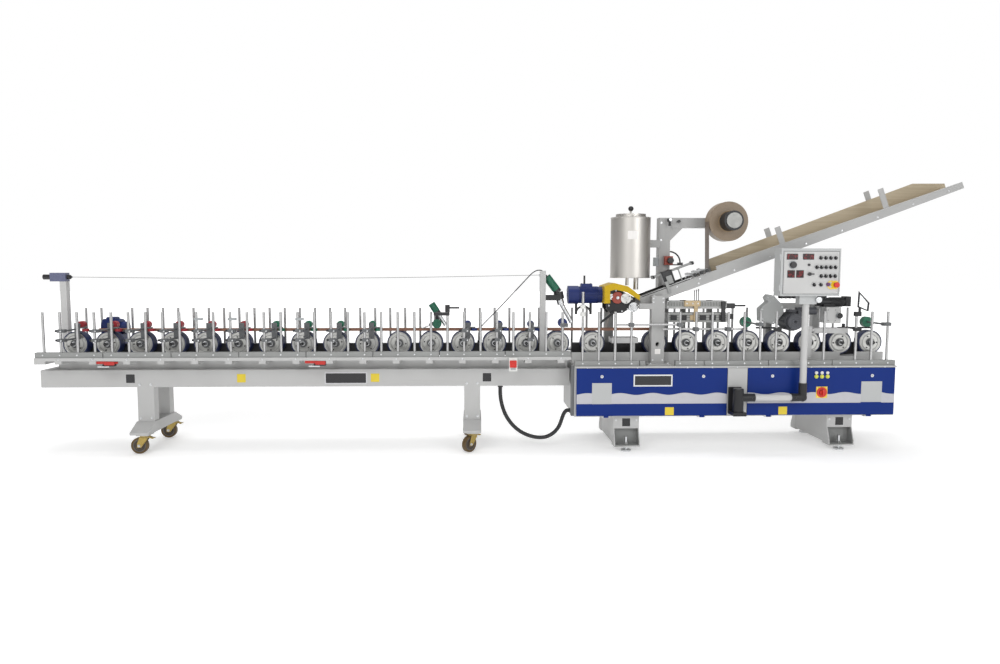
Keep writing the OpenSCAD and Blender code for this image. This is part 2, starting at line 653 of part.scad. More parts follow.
module control_box() placed() {
    color("gainsboro") difference() {
        union() {
            box([panel_x, panel_x + panel_w], panel_y, [panel_z, panel_z + panel_h]);
            box(span(tube_x, 130), span(-arm_y, 70), [clamp_z[0], panel_z + 1]);
        }
        rod_z(tube_x, -arm_y, [clamp_z[0] - 1, clamp_z[1] - 9], arm_tube_d + fit);
        rod_y(estop_x, [panel_y[0] - 1, panel_y[0] + 30], estop_z, 16 + fit);
    }
    color("whitesmoke") difference() {
        box([panel_x + 22, panel_x + panel_w - 14], [panel_y[0] - 3.3, panel_y[0] - seat],
            [panel_z + 18, panel_z + panel_h - 24]);
        rod_y(estop_x, [panel_y[0] - 4, panel_y[0]], estop_z, 18);
    }
    color("darkred") {
        for (x = [82, 203]) box(span(panel_x + x, 76), [panel_y[0] - 8, panel_y[0] - 3.6],
            span(panel_z + 292, 36));
        for (x = [76, 143]) box(span(panel_x + x, 48), [panel_y[0] - 8, panel_y[0] - 3.6],
            span(panel_z + 164, 48));
    }
    color("black") {
        rod_y(panel_x + 87, [panel_y[0] - 26, panel_y[0] - 3.6], panel_z + 231, 44);
        rod_y(panel_x + 208, [panel_y[0] - 12, panel_y[0] - 3.6], panel_z + 232, 18);
        rod_y(panel_x + 213, [panel_y[0] - 16, panel_y[0] - 3.6], panel_z + 164, 26);
        box(from(panel_x, 200, 244), [panel_y[0] - 24, panel_y[0] - 15], span(panel_z + 164, 9));
    }
    for (x = [293, 331, 368, 406]) selector(x, 283);
    for (x = [266, 301, 336, 371, 406]) selector(x, 214);
    for (x = [301, 336, 371, 406]) selector(x, 149);
    for (x = [251, 301]) selector(x, 85);
    color("purple") rod_y(panel_x + 357, [panel_y[0] - 14, panel_y[0] - 3.6], panel_z + 87, 28);
    color("gold") difference() {
        rod_y(estop_x, [panel_y[0] - 6, panel_y[0] - 3.6], estop_z, 62);
        rod_y(estop_x, [panel_y[0] - 7, panel_y[0] - 3], estop_z, 18);
    }
    color("silver") rod_y(tube_x + 74, [-arm_y - 58, -arm_y - 35 - seat], clamp_z[0] + 34, 44);
}
module estop_button() placed() color("red") {
    rod_y(estop_x, [panel_y[0] - 24, panel_y[0] + 24], estop_z, 16);
    rod_y(estop_x, [panel_y[0] - estop_reach, panel_y[0] - 22], estop_z, 40);
}

// Glue column in front and the tall post behind, with the arm and bearing of the reel
reel_y = [30, 118];
module glue_column() placed() {
    color("gainsboro") difference() {
        union() {
            box(span(column_x, 175), [-300, column_y[1]], [base_top_z + seat, base_top_z + 12]);
            box(span(column_x, column_w), column_y, [base_top_z + 11, 1200]);
            box([base_x + 515, column_x], [column_y[0], column_y[0] + 30], [1095, 1140]);
        }
        rod_y(column_x, [column_y[0] - 1, column_y[1] + 1], axis_z, 36);
        box(span(column_x, column_w - 16), [column_y[0] + 8, column_y[1] + 1], [base_top_z + 20, 1060]);
    }
    color("gainsboro") difference() {
        union() {
            box(span(post_x, post_w), post_y, [base_top_z + seat, post_top]);
            box([post_x + 40, reel_x + 60], post_y, [post_top - 80, post_top]);
            box(span(post_x, post_w + 60), [post_y[0], post_y[1] + 30], [base_top_z + seat, base_top_z + 12]);
            plate_y([post_y[0] + 5, post_y[0] + 15], [[post_x + 44, post_top - 79],
                [post_x + 150, post_top - 79], [post_x + 44, post_top - 186]]);
            rod_y(reel_x, [reel_y[0], post_y[1]], reel_z, 160);
            box(span(post_x, 60), [trough_y[1] + seat, post_y[0] + 1], [1200, 1262]);
        }
        rod_y(reel_x, [reel_y[0] - 1, reel_y[1] + 1], reel_z, spindle_d + fit);
    }
    // Valve, switch box with its knob, junction box and air hose on the post
    color("black") {
        rod_y(post_x + 28, [post_y[0] - 60, post_y[0] - seat], 1800, 26);
        rod_z(post_x + 28, post_y[0] - 40, [1752, 1801], 20);
        rod_y(post_x + 108, [post_y[0] - 34, post_y[0] - seat], 1790, 22);
        rod_y(post_x + 34, [post_y[0] - 66, post_y[0] - 50 - seat], 1475, 50);
        translate([post_x + post_w / 2 + seat, post_y[0] + 20, 1458]) rotate([90, 0, 0])
            rotate_extrude(angle = 90) translate([90, 0]) circle(d = 12);
        box([post_x + post_w / 2 + 70, post_x + post_w / 2 + 110], from(post_y[0], 4, 36), [1440, 1459]);
        box([post_x + 44 + seat, post_x + post_w / 2 + 111], from(post_y[0], 4, 36), [1436, 1446]);
    }
    color("indianred") box(from(post_x, -6, 58), [post_y[0] - 50, post_y[0] - seat], [1440, 1510]);
    color("lightslategray") box(from(post_x - post_w / 2, -34, -seat), [post_y[0] + 5, post_y[0] + 55], [1430, 1500]);
}

// Infeed trough: a roller table at its foot, then a lined channel
cant = table_h - 13;
module infeed_trough() placed() on_slope() {
    front = [trough_y[0], trough_y[0] + 6];
    back = [trough_y[1] - 6, trough_y[1]];
    pairs = [1205, 2068];
    color("gainsboro") {
        for (y = [front, back]) box([0, table_l + 10], y, [0, table_h]);
        box([0, table_l], trough_y, [cant - 4, cant]);
        box([table_l, trough_l], trough_y, [0, 3]);
        plate_y(front, [[table_l, 0], [trough_l, 0], [trough_l, 50], [table_l, 100]]);
        plate_y([trough_y[1] - 3, trough_y[1]], [[table_l, 0], [trough_l, 0], [trough_l, 60],
            [trough_l - 250, trough_back_h], [table_l, trough_back_h]]);
        for (x = pairs) {
            box(span(x, 45), [trough_y[0], trough_y[0] + 5], [0, 225]);
            box(span(x, 45), [trough_y[1] - 5, trough_y[1]], [0, 225]);
        }
        for (y = [front, back], x = [470, 525, 572]) box(span(x, 24), y, [table_h - 1, 112]);
    }
    // Liner on the channel's floor and back wall
    color("burlywood") {
        box([table_l + 20, trough_l - 4], [trough_y[0] + 7, trough_y[1] - 8], [3 + seat, 7]);
        plate_y([trough_y[1] - 9, trough_y[1] - 5 - seat], [[table_l + 20, 3 + seat],
            [trough_l - 4, 3 + seat], [trough_l - 4, 64], [trough_l - 254, trough_back_h + 4],
            [table_l + 20, trough_back_h + 4]]);
    }
    // Guide bars and nip rollers over the table
    color("black") {
        for (y = [front[0] + 20, back[0] - 24]) box([20, 440], [y, y + 14], [table_h - 1, table_h + 12]);
        for (y = [front[0] + 20, back[0] - 24], x = [40, 420]) box([x, x + 10], [y, y + 14], [cant + seat, table_h]);
        for (x = [470, 525, 572]) rod_y(x, [front[0] - 14, front[0] - seat], 96, 26);
    }
    color("silver") {
        for (x = [470, 525]) rod_y(x, [front[1] + seat, back[0] - seat], 96, 34);
        rod_y(572, [front[1] + seat, back[0] - seat], 100, 20);
        for (y = [front[0] + 8, back[0] - 12]) rod_x([10, 450], y, table_h + 8, 8);
        for (y = [front[0] + 8, back[0] - 12], x = [14, 430]) box([x, x + 8], span(y, 6), [table_h - 20, table_h + 8]);
    }
}

// Glue head: side plates, coating roller, guard and its motor
module glue_head() placed() {
    outline = [for (p = [[270, 1240], [360, 1252], [500, 1178], [492, 1120], [400, 1061], [300, 1061],
        [270, 1100]]) [base_x + p[0], p[1]]];
    color("black") {
        for (y = [[-150, -140], [30, 40]]) difference() {
            plate_y(y, outline);
            rod_y(base_x + 355, [y[0] - 1, y[1] + 1], 1182, 24 + 2 * seat);
        }
        for (p = [[300, 1090], [440, 1198]]) rod_y(base_x + p[0], [-141, 31], p[1], 14);
        plate_y([-162, -150], [[base_x + 335, 1085], [base_x + 210, 985], [base_x + 220, 972], [base_x + 350, 1072]]);
        rod_z(base_x + 110, feed_y, [1268, 1354], 15);
        translate([base_x + 104, feed_y, 1052]) rotate([90, 0, 0]) rotate_extrude(angle = 180)
            translate([58, 0]) circle(d = 16);
        for (x = [46, 162]) rod_z(base_x + x, feed_y, [1046, 1150], 20);
    }
    color("indianred") difference() {
        rod_y(base_x + 355, [-138, 28], 1182, 88);
        rod_y(base_x + 355, [-140, 30], 1182, 24 + 2 * seat);
    }
    color("silver") {
        rod_y(base_x + 355, [-180, 44], 1182, 24);
        rod_y(base_x + 480, [-180, -150 - seat], 1108, 76);
        rod_y(base_x + 480, [-196, -179], 1108, 44);
        rod_x([base_x + 496, base_x + 560], -188, 1112, 20);
    }
    color("white") difference() {
        rod_y(base_x + 420, [-176, -150 - seat], 1177, 80);
        rod_y(base_x + 420, [-177, -170], 1177, 40);
    }
    color("gold") {
        plate_y([-195, 60], [[base_x + 247, 1138], [base_x + 247, 1272], [base_x + 321, 1298],
            [base_x + 430, 1272], [base_x + 527, 1200], [base_x + 522, 1190], [base_x + 425, 1262],
            [base_x + 321, 1287], [base_x + 257, 1264], [base_x + 257, 1138]]);
        for (y = [[-140 + seat, -128], [18, 30 - seat]]) box(from(base_x, 256, 300), y, [1150, 1230]);
    }
    color("navy") {
        rod_x([base_x - 20, base_x + 247 - seat], feed_y, 1201, 130);
        rod_x([base_x - 22, base_x + 60], feed_y, 1201, 143);
        box(from(base_x, 80, 170), [feed_y - 30, feed_y + 30], [1260, 1285]);
    }
    // Support from the deck behind the drive line
    color("lightgray") {
        box(from(base_x, 300, 372), [84, 134], [base_top_z + seat, 1100]);
        box(from(base_x, 300, 372), [40 + seat, 90], [1066, 1100]);
    }
}

// Glue tank with its bracket and outlets, and the lid that lifts off
module glue_tank() placed() {
    color("silver") difference() {
        union() {
            rod_z(tank_x, feed_y, [tank_z, tank_z + tank_h], tank_d);
            box([tank_x + 80, post_x - post_w / 2 - seat], [post_y[0] - 24, post_y[0] + 16], [1580, 1640]);
            rod_z(tank_x - 31, feed_y - 40, [1278, tank_z + 1], 25);
            rod_z(tank_x + 40, feed_y - 40, [1245, tank_z + 1], 38);
        }
        rod_z(tank_x, feed_y, [tank_z + 5, tank_z + tank_h - 5], tank_d - 8);
        rod_z(tank_x, feed_y, [tank_z + tank_h - 6, tank_z + tank_h + 1], mouth_d);
    }
}
module tank_lid() placed() translate([tank_x, feed_y, tank_z + tank_h]) {
    color("silver") {
        difference() {
            union() {
                rod_z(0, 0, [seat, 26], mouth_d + 14);
                rod_z(0, 0, [-14, 1], mouth_d - 4);
            }
            rod_z(0, 0, [-15, 22], mouth_d - 12);
        }
        rod_z(0, 0, [25, 54], 16);
    }
    color("black") difference() {
        translate([0, 0, 70]) sphere(d = 42);
        rod_z(0, 0, [20, 54 + seat], 16 + 2 * seat);
    }
}

// Foil reel: the mandrel turns in the bearing and carries the roll
module roll_mandrel() placed() {
    color("silver") {
        rod_y(reel_x, [-234, 112], reel_z, spindle_d);
        rod_y(reel_x, [-234, -226], reel_z, 120);
        rod_y(reel_x, [feed_y + roll_w / 2 + seat, feed_y + roll_w / 2 + 10], reel_z, 200);
    }
    color("black") difference() {
        rod_y(reel_x, [-226 + seat, feed_y + roll_w / 2], reel_z, core_d - 0.6);
        rod_y(reel_x, [-227, feed_y + roll_w / 2 + 1], reel_z, spindle_d + 2 * seat);
    }
}
module foil_roll() placed() color("tan") difference() {
    rod_y(reel_x, span(feed_y, roll_w), reel_z, roll_d);
    rod_y(reel_x, span(feed_y, roll_w + 2), reel_z, core_d);
}
function sloped(x, z) = [trough_x + x * cos(trough_slope) - z * sin(trough_slope),
    trough_z + x * sin(trough_slope) + z * cos(trough_slope)];
module foil_web() placed() color("sienna") let (
    low = cant + seat, start = reel_x - roll_d / 2 - seat,
    a = sloped(600, low), b = sloped(-1, low))
    plate_y(span(feed_y, foil_w), [[start, reel_z], a, b, [base_x + 400, 1136], [base_x + 330, 1132],
        [base_x + 288, profile_top + seat], [base_x + 286, profile_top + seat], [base_x + 327, 1134],
        [base_x + 400, 1137.4], b + [-1, 1.2], a + [-2, 1.4], [start - 1.2, reel_z]]);

// Sample profile that lies on the drive wheels
profile_x = [wheel_x[0] + 174, base_x + 662];
module sample_profile() placed() color("burlywood") plate_x(profile_x, [
    [feed_y - profile_w / 2, top_z + seat], [feed_y + profile_w / 2, top_z + seat],
    [feed_y + profile_w / 2, top_z + seat + 8], [feed_y + 6, profile_top - 6],
    [feed_y - 4, profile_top], [feed_y - profile_w / 2, profile_top]]);

// Press rollers on adjustable arms, clamped to the front rods
module press_unit(x, tint) {
    arm_x = x + 26;
    color("dimgray") for (z = [940, 870]) difference() {
        box([x - 16, arm_x + 11], [-row_y - 20, -row_y + 20], span(z, 24));
        rod_z(x, -row_y, span(z, 30), rod_d + 2 * seat);
    }
    color("dimgray") {
        for (z = [940, 870]) rod_y(arm_x, [-352, -120], z, 14);
        box(span(arm_x, 40), [-128, -118], [860, 986]);
        box([arm_x + 19, arm_x + 60], [-128, -90], [944, 952]);
        rod_y(arm_x, [-119, -24], profile_top + 0.6 + 28, 10);
        rod_z(arm_x + 50, feed_y - profile_w / 2 - 25.3, [919, 945], 8);
    }
    color(tint) {
        difference() {
            rod_y(arm_x, [-74, -28], profile_top + 0.6 + 28, 56);
            rod_y(arm_x, [-75, -27], profile_top + 0.6 + 28, 10 + 2 * seat);
        }
        difference() {
            rod_z(arm_x + 50, feed_y - profile_w / 2 - 25.3, [920, 940], 50);
            rod_z(arm_x + 50, feed_y - profile_w / 2 - 25.3, [918, 942], 8 + 2 * seat);
        }
    }
}
module high_roller(x, off, z, d, tint) {
    color("dimgray") {
        difference() {
            box([min(x - 16, x + off - 10), max(x + 16, x + off + 10)],
                [-row_y - 20, -row_y + 20], span(z, 26));
            rod_z(x, -row_y, span(z, 30), rod_d + 2 * seat);
        }
        rod_y(x + off, [-row_y - 34, -26], z, 14);
    }
    color(tint) difference() {
        rod_y(x + off, [-76, -28], z, d);
        rod_y(x + off, [-77, -27], z, 14 + 2 * seat);
    }
}
module press_rollers() placed() {
    for (k = [0:9]) press_unit(rod_x_at(1 + 2 * k), k < 6 ? "firebrick" : "seagreen");
    for (i = [25, 27, 29]) press_unit(rod_x_at(i), "midnightblue");
    high_roller(rod_x_at(31), 30, 979, 74, "midnightblue");
    high_roller(base_x + rod_x_at(11), -22, 984, 84, "seagreen");
    high_roller(base_x + rod_x_at(19), -33, 984, 84, "seagreen");
    // Grey clamp levers above the press units
    color("lightgray") for (i = [9, 11, 15]) difference() {
        box([rod_x_at(i) - 14, rod_x_at(i) + 44], [-row_y - 16, -row_y + 16], [1020, 1036]);
        rod_z(rod_x_at(i), -row_y, [1010, 1040], rod_d + 2 * seat);
    }
}

// Hot air guns over the outfeed bench and the preheater of the infeed side
module rod_between(a, b, y, d) translate([a[0], y, a[1]])
    rotate([0, atan2(b[0] - a[0], b[1] - a[1]), 0]) cylinder(d = d, h = norm(b - a));
gun_y = -100;
module air_heaters() placed() {
    left = gun_post_x - 22.5;
    // Post of the large gun and the eye of the pull wire
    color("silver") {
        box(span(gun_post_x, 45), span(gun_post_y, 45), [bar_z + 10, 1392]);
        box(span(gun_post_x, 60), [-row_y + bar_w / 2 + 1, gun_post_y + 23], [bar_z + seat, bar_z + 11]);
        rod_x([left - 8, left + 1], gun_post_y, 1358, 16);
    }
    color("black") {
        box([gun_post_x + 22.5 + seat, gun_post_x + 140], span(gun_post_y + 8, 24), [1160, 1204]);
        box(from(gun_post_x, 96, 140), [gun_post_y + 8, gun_y], [1168, 1200]);
        rod_between([3833, 1346], [3926, 1223], gun_y, 62);
        rod_between([3926, 1223], [3938, 1170], gun_y, 76);
        rod_between([3832.7, 1345.7], [3826.2, 1357.6], gun_y, 18);
    }
    color("silver") {
        rod_between([3938.4, 1168], [3950, 1130], gun_y, 56);
        rod_between([3950, 1134], [4034, 985], gun_y, 34);
    }
    // Small gun on a rod clamp, and the knob on that rod
    x = rod_x_at(24);
    color("black") {
        difference() {
            box([x - 104, x + 16], [-row_y - 20, -row_y + 20], [1054, 1078]);
            rod_z(x, -row_y, [1050, 1080], rod_d + 2 * seat);
        }
        rod_y(x - 88, [-row_y, gun_y], 1066, 16);
        rod_between([2930, 1135], [2985, 1050], gun_y, 52);
        rod_z(x, -row_y, [rod_top_z + seat, 1134], 36);
        rod_x([x, x + 90], -row_y, 1112, 14);
    }
    color("silver") rod_between([2985.4, 1049.4], [3040, 965], gun_y, 30);
    // Preheater: upper and lower heater over the wheels, held from behind
    heater_y = span(feed_y, 120);
    posts = from(base_x, 930, 1150);
    color("gray") {
        box(from(base_x, 760, 1240), heater_y, [1105 + seat, 1155]);
        box(from(base_x, 770, 1250), heater_y, [985, 1060]);
        for (x = posts) {
            box([x, x + 40], [88, 128], [base_top_z + seat, 1155]);
            for (z = [[1110, 1150], [1000, 1040]]) box([x, x + 40], [heater_y[1] - 1, 89], z);
        }
    }
    color("whitesmoke") box(from(base_x, 765, 1238), [heater_y[0] + 2, heater_y[1]], [1092, 1105]);
    color("black") {
        for (n = [0:5]) box(from(base_x, 790 + n * 78, 840 + n * 78), [heater_y[0] - 8, heater_y[0] - seat], [1003, 1042]);
        for (x = posts) box([x + 44, x + 74], [heater_y[0] - 20, heater_y[0] - seat], [990, 1150]);
        box(from(base_x, 1240 + seat, 1310), [heater_y[0] + 10, heater_y[0] + 50], [1095, 1135]);
        rod_x(from(base_x, 1309, 1400), heater_y[0] + 30, 1116, 14);
        box(from(base_x, 1250 + seat, 1300), [heater_y[0] + 10, heater_y[0] + 50], [1010, 1050]);
    }
    color("tan") box(from(base_x, 895, 1022), [heater_y[0] - 22, heater_y[0] - seat], [1112, 1158]);
    // Feeds from the block under the trough to the heater
    block = sloped(465, -24);
    color("black") {
        for (off = [-16, 0, 16]) rod_z(block[0] + off, feed_y - 50, [1155 + seat, block[1] - 1.9 + off * 0.37], 7);
    }
}

// Brush unit: dust guard with its motor, the top spindle, tray and guides
module brush_unit() placed() {
    guard = [[1584, 1206], [1563, 1179], [1580, 1147], [1518, 1093], [1523, 993], [1634, 966], [1685, 1025],
        [1710, 1061], [1705, 1115], [1625, 1197]];
    posts = from(base_x, 1670, 2060);
    color("darkgray") {
        plate_y([-90, -10], [for (p = guard) [base_x + p[0], p[1]]]);
        box(from(base_x, 2003, 2121), [-200, -90], [983, 1109]);
        rod_y(base_x + 2100, [-222, -199], 1043, 44);
        for (x = posts) box([x - 25, x + 25], [100, 160], [base_top_z + seat, 1160]);
        box([posts[0] - 25, posts[1] + 25], [84, 101], [1080, 1130]);
        box(from(posts[0], -60, -20), [-11, 85], [1085, 1125]);
        box(from(posts[1], -20, 20), [-91, 85], [1085, 1105]);
    }
    color("dimgray") {
        rod_y(base_x + 1760, [-170, -8], 992, 138);
        rod_y(base_x + 1760, [-200, -169], 992, 122);
        box(from(base_x, 1800, 1850), [-150, -60], [1030, 1075]);
        rod_x(from(base_x, 1800, 1960), -105, 1075, 60);
        box(from(base_x, 1742, 1782), [-9, 84 - seat], [1000, 1050]);
    }
    color("black") {
        rod_x(from(base_x, 1990, 2185), -105, 1146, 72);
        rod_x(from(base_x, 1960, 2010), -105, 1146, 64);
        box(from(base_x, 2184, 2225), [-145, -65], [1112, 1192]);
        box(from(base_x, 2010, 2100), [-140, -70], [1109 + seat, 1130]);
        rod_y(base_x + 2100, [-236, -222 - seat], 1043, 26);
        for (x = from(base_x, 1470, 2130)) {
            box([x, x + 270], [-138, -128], [936, 950]);
            box([x + 40, x + 60], [-136, -120], [949, 975]);
        }
        for (c = [[12, 1560], [17, 2210]]) difference() {
            box([base_x + rod_x_at(c[0]) - 16, base_x + rod_x_at(c[0]) + 34], [-row_y - 20, -row_y + 20], [930, 956]);
            rod_z(base_x + rod_x_at(c[0]), -row_y, [920, 960], rod_d + 2 * seat);
        }
        for (i = [12, 17]) rod_y(base_x + rod_x_at(i) + 24, [-row_y, -130], 943, 12);
    }
    // White bracket and tray in front of the wheels
    color("white") {
        box(from(base_x, 1843, 1888), [-215, -205], [700, 960]);
        box(from(base_x, 1843, 1888), [-206, -150 - seat], [700, 712]);
        box(from(base_x, 1909, 2183), [-200, -115], [904, 944]);
        box(from(base_x, 1887, 1910), [-213, -190], [920, 940]);
    }
    // Clear guard on the top of a front rod
    x = base_x + rod_x_at(17);
    pane = [[18, 1220], [84, 1146], [80, 1094], [14, 1122]];
    color("black") difference() {
        union() {
            plate_y([-row_y - 5, -row_y + 5], [[x + 8, 1238], [x + 96, 1150], [x + 90, 1082], [x + 4, 1114]]);
            box([x - 16, x + 30], span(-row_y, 34), [1046, rod_top_z]);
            box([x + 14, x + 30], span(-row_y, 10), [rod_top_z - 1, 1112]);
        }
        rod_z(x, -row_y, [1040, rod_top_z + 1], rod_d + 2 * seat);
        plate_y([-row_y - 6, -row_y + 6], [for (p = pane) [x + p[0], p[1]]]);
    }
    color("lightcyan") plate_y([-row_y - 1.5, -row_y + 1.5], [[x + 18.5, 1218.8], [x + 83.6, 1145.9],
        [x + 79.7, 1094.5], [x + 14.5, 1122.2]]);
}

// Emergency pull switch on its post at the free end
module pull_switch() placed() {
    color("whitesmoke") {
        box(span(pull_x, 50), span(pull_y, 50), [deck_z + seat, pull_z - 33]);
        box(span(pull_x, 80), span(pull_y, 70), [deck_z + seat, deck_z + 10]);
        box([pull_x - 96, pull_x + 24], span(pull_y, 62), [pull_z - 34, pull_z + 33]);
    }
    color("black") {
        rod_x([pull_x - pull_l[0], pull_x - 96 - seat], pull_y, pull_z, 40);
        rod_x([pull_x + 24 + seat, pull_x + pull_l[1] - 12], pull_y, pull_z, 34);
        rod_x([pull_x + pull_l[1] - 13, pull_x + pull_l[1]], pull_y, pull_z, 14);
    }
}

// The free cords
wire_route = [[pull_x + pull_l[1], pull_y, pull_z], [1300, -28, 1328], [2600, -90, 1336],
    [gun_post_x - 30.5, gun_post_y, 1358]];
module pull_wire() placed() color("black") tube(wire_route, 3, wire_d, 8);
module gun_cord() placed() color("black") tube(gun_cord_route, 2, gun_cord_d, 8);
module supply_hose() placed() color("black") tube(hose_route, 2, hose_d, 12);

outfeed_frame();
base_frame();
clamp_bars();
guide_rods();
drive_line();
for (k = [0:len(wheel_x) - 1]) drive_wheel(k);
for (k = [0:3]) caster_fork(k);
for (k = [0:3]) caster_wheel(k);
door_left();
door_right();
main_switch();
panel_arm();
control_box();
estop_button();
glue_column();
infeed_trough();
glue_head();
glue_tank();
tank_lid();
roll_mandrel();
foil_roll();
foil_web();
sample_profile();
press_rollers();
air_heaters();
brush_unit();
pull_switch();
pull_wire();
gun_cord();
supply_hose();
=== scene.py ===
import bmesh
import bpy
import math
from collections import namedtuple
from itertools import product
from mathutils import Euler, Matrix, Vector


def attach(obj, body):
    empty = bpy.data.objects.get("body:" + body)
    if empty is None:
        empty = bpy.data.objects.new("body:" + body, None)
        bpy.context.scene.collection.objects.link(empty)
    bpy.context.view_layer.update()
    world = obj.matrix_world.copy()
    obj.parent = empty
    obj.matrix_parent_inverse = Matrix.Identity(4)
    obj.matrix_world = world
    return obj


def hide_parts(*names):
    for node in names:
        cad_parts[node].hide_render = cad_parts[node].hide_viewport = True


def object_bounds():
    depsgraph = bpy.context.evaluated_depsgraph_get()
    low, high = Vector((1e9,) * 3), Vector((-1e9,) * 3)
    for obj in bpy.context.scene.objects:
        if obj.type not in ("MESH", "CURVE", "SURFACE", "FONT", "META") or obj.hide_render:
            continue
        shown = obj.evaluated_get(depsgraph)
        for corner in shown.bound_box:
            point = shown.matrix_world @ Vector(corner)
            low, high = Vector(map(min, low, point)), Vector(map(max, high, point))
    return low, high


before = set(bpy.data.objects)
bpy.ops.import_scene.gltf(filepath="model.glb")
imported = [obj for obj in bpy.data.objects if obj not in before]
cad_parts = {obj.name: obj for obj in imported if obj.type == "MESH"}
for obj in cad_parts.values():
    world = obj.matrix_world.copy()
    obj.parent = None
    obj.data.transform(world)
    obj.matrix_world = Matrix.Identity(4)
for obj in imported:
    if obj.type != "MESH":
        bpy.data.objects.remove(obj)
CAD_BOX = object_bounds()

# Looks of the profile wrapping machine: a finish for every CAD solid, its cords and fine trim.

# The layout of part.scad: millimetres, X from the free end's bars, Y from the centre line.
# The pull switch's tip and the emergency stop's top are the machine's own ends there.
LEFT_TIP, FRONT_TIP = -103.0, -527.0
SHIFT_X = LEFT_TIP / 1000 - CAD_BOX[0][0]
SHIFT_Y = FRONT_TIP / 1000 - CAD_BOX[0][1]
BASE_X = 4030.0
FEED_Y = -50.0
REEL = (5269.0, FEED_Y, 1781.0)
TANK_X = 4503.0
SLOPE = math.radians(20.3)
TROUGH = (4583.0, 1107.0)


def at(x, y, z):
    """A layout point, in millimetres, as a point of the frame, in metres."""
    return Vector((x / 1000 - SHIFT_X, y / 1000 - SHIFT_Y, z / 1000))


def sloped(along, y, up):
    """A point of the trough: millimetres along its slope and square to it."""
    return (TROUGH[0] + along * math.cos(SLOPE) - up * math.sin(SLOPE), y,
            TROUGH[1] + along * math.sin(SLOPE) + up * math.cos(SLOPE))


def new_object(name, data):
    """An object of the scene that shows a mesh, curve, light or camera."""
    made = bpy.data.objects.new(name, data)
    bpy.context.scene.collection.objects.link(made)
    return made


# Camera, as fitted to the photo: layout millimetres, pixels and radians
CAMERA_AT = (3255.9, -5871.9, 1406.2)
FOCAL_PX, IMAGE_W = 734.8, 1000.0
YAW, PITCH, ROLL = 0.03678, 0.0858, -0.00148

lens = bpy.data.cameras.new("photo_camera")
lens.sensor_width = 36.0
lens.lens = lens.sensor_width * FOCAL_PX / IMAGE_W
lens.clip_end = 100.0
camera = new_object("photo_camera", lens)
look = Euler((math.pi / 2 - PITCH, 0, -YAW)).to_matrix() @ Matrix.Rotation(-ROLL, 3, "Z")
camera.matrix_world = Matrix.Translation(at(*CAMERA_AT)) @ look.to_4x4()
bpy.context.scene.camera = camera


def area_light(name, place, size, power, target):
    light = bpy.data.lights.new(name, "AREA")
    light.shape, light.size, light.size_y, light.energy = "RECTANGLE", size[0], size[1], power
    lamp = new_object(name, light)
    lamp.location = place
    lamp.rotation_euler = (Vector(target) - Vector(place)).to_track_quat("-Z", "Y").to_euler()


area_light("key", (-3.0, -6.5, 5.0), (5.0, 2.5), 190, (0, 0, 0.9))
area_light("fill", (4.5, -6.5, 3.0), (3.5, 2.5), 110, (0.5, 0, 0.9))
area_light("top", (0.0, 0.6, 5.5), (9.0, 2.0), 150, (0, 0, 0.8))


def studio_world():
    """A white backdrop to the camera; for light and reflections the room is darker at its sides."""
    world = bpy.data.worlds.new("studio")
    world.use_nodes = True
    nodes, link = world.node_tree.nodes, world.node_tree.links.new
    room, backdrop = nodes["Background"], nodes.new("ShaderNodeBackground")
    for background in (room, backdrop):
        background.inputs["Color"].default_value = (1, 1, 1, 1)
    axes = nodes.new("ShaderNodeSeparateXYZ")
    link(nodes.new("ShaderNodeTexCoord").outputs["Generated"], axes.inputs["Vector"])
    side = nodes.new("ShaderNodeMath")
    side.operation = "ABSOLUTE"
    link(axes.outputs["X"], side.inputs[0])
    level = nodes.new("ShaderNodeMapRange")
    level.interpolation_type = "SMOOTHSTEP"
    link(side.outputs["Value"], level.inputs["Value"])
    for socket, value in (("From Min", 0.25), ("From Max", 0.85), ("To Min", 0.62), ("To Max", 0.16)):
        level.inputs[socket].default_value = value
    link(level.outputs["Result"], room.inputs["Strength"])
    choice = nodes.new("ShaderNodeMixShader")
    link(nodes.new("ShaderNodeLightPath").outputs["Is Camera Ray"], choice.inputs["Fac"])
    link(room.outputs["Background"], choice.inputs[1])
    link(backdrop.outputs["Background"], choice.inputs[2])
    link(choice.outputs["Shader"], nodes["World Output"].inputs["Surface"])
    bpy.context.scene.world = world


studio_world()
bpy.context.scene.view_settings.view_transform = "Standard"


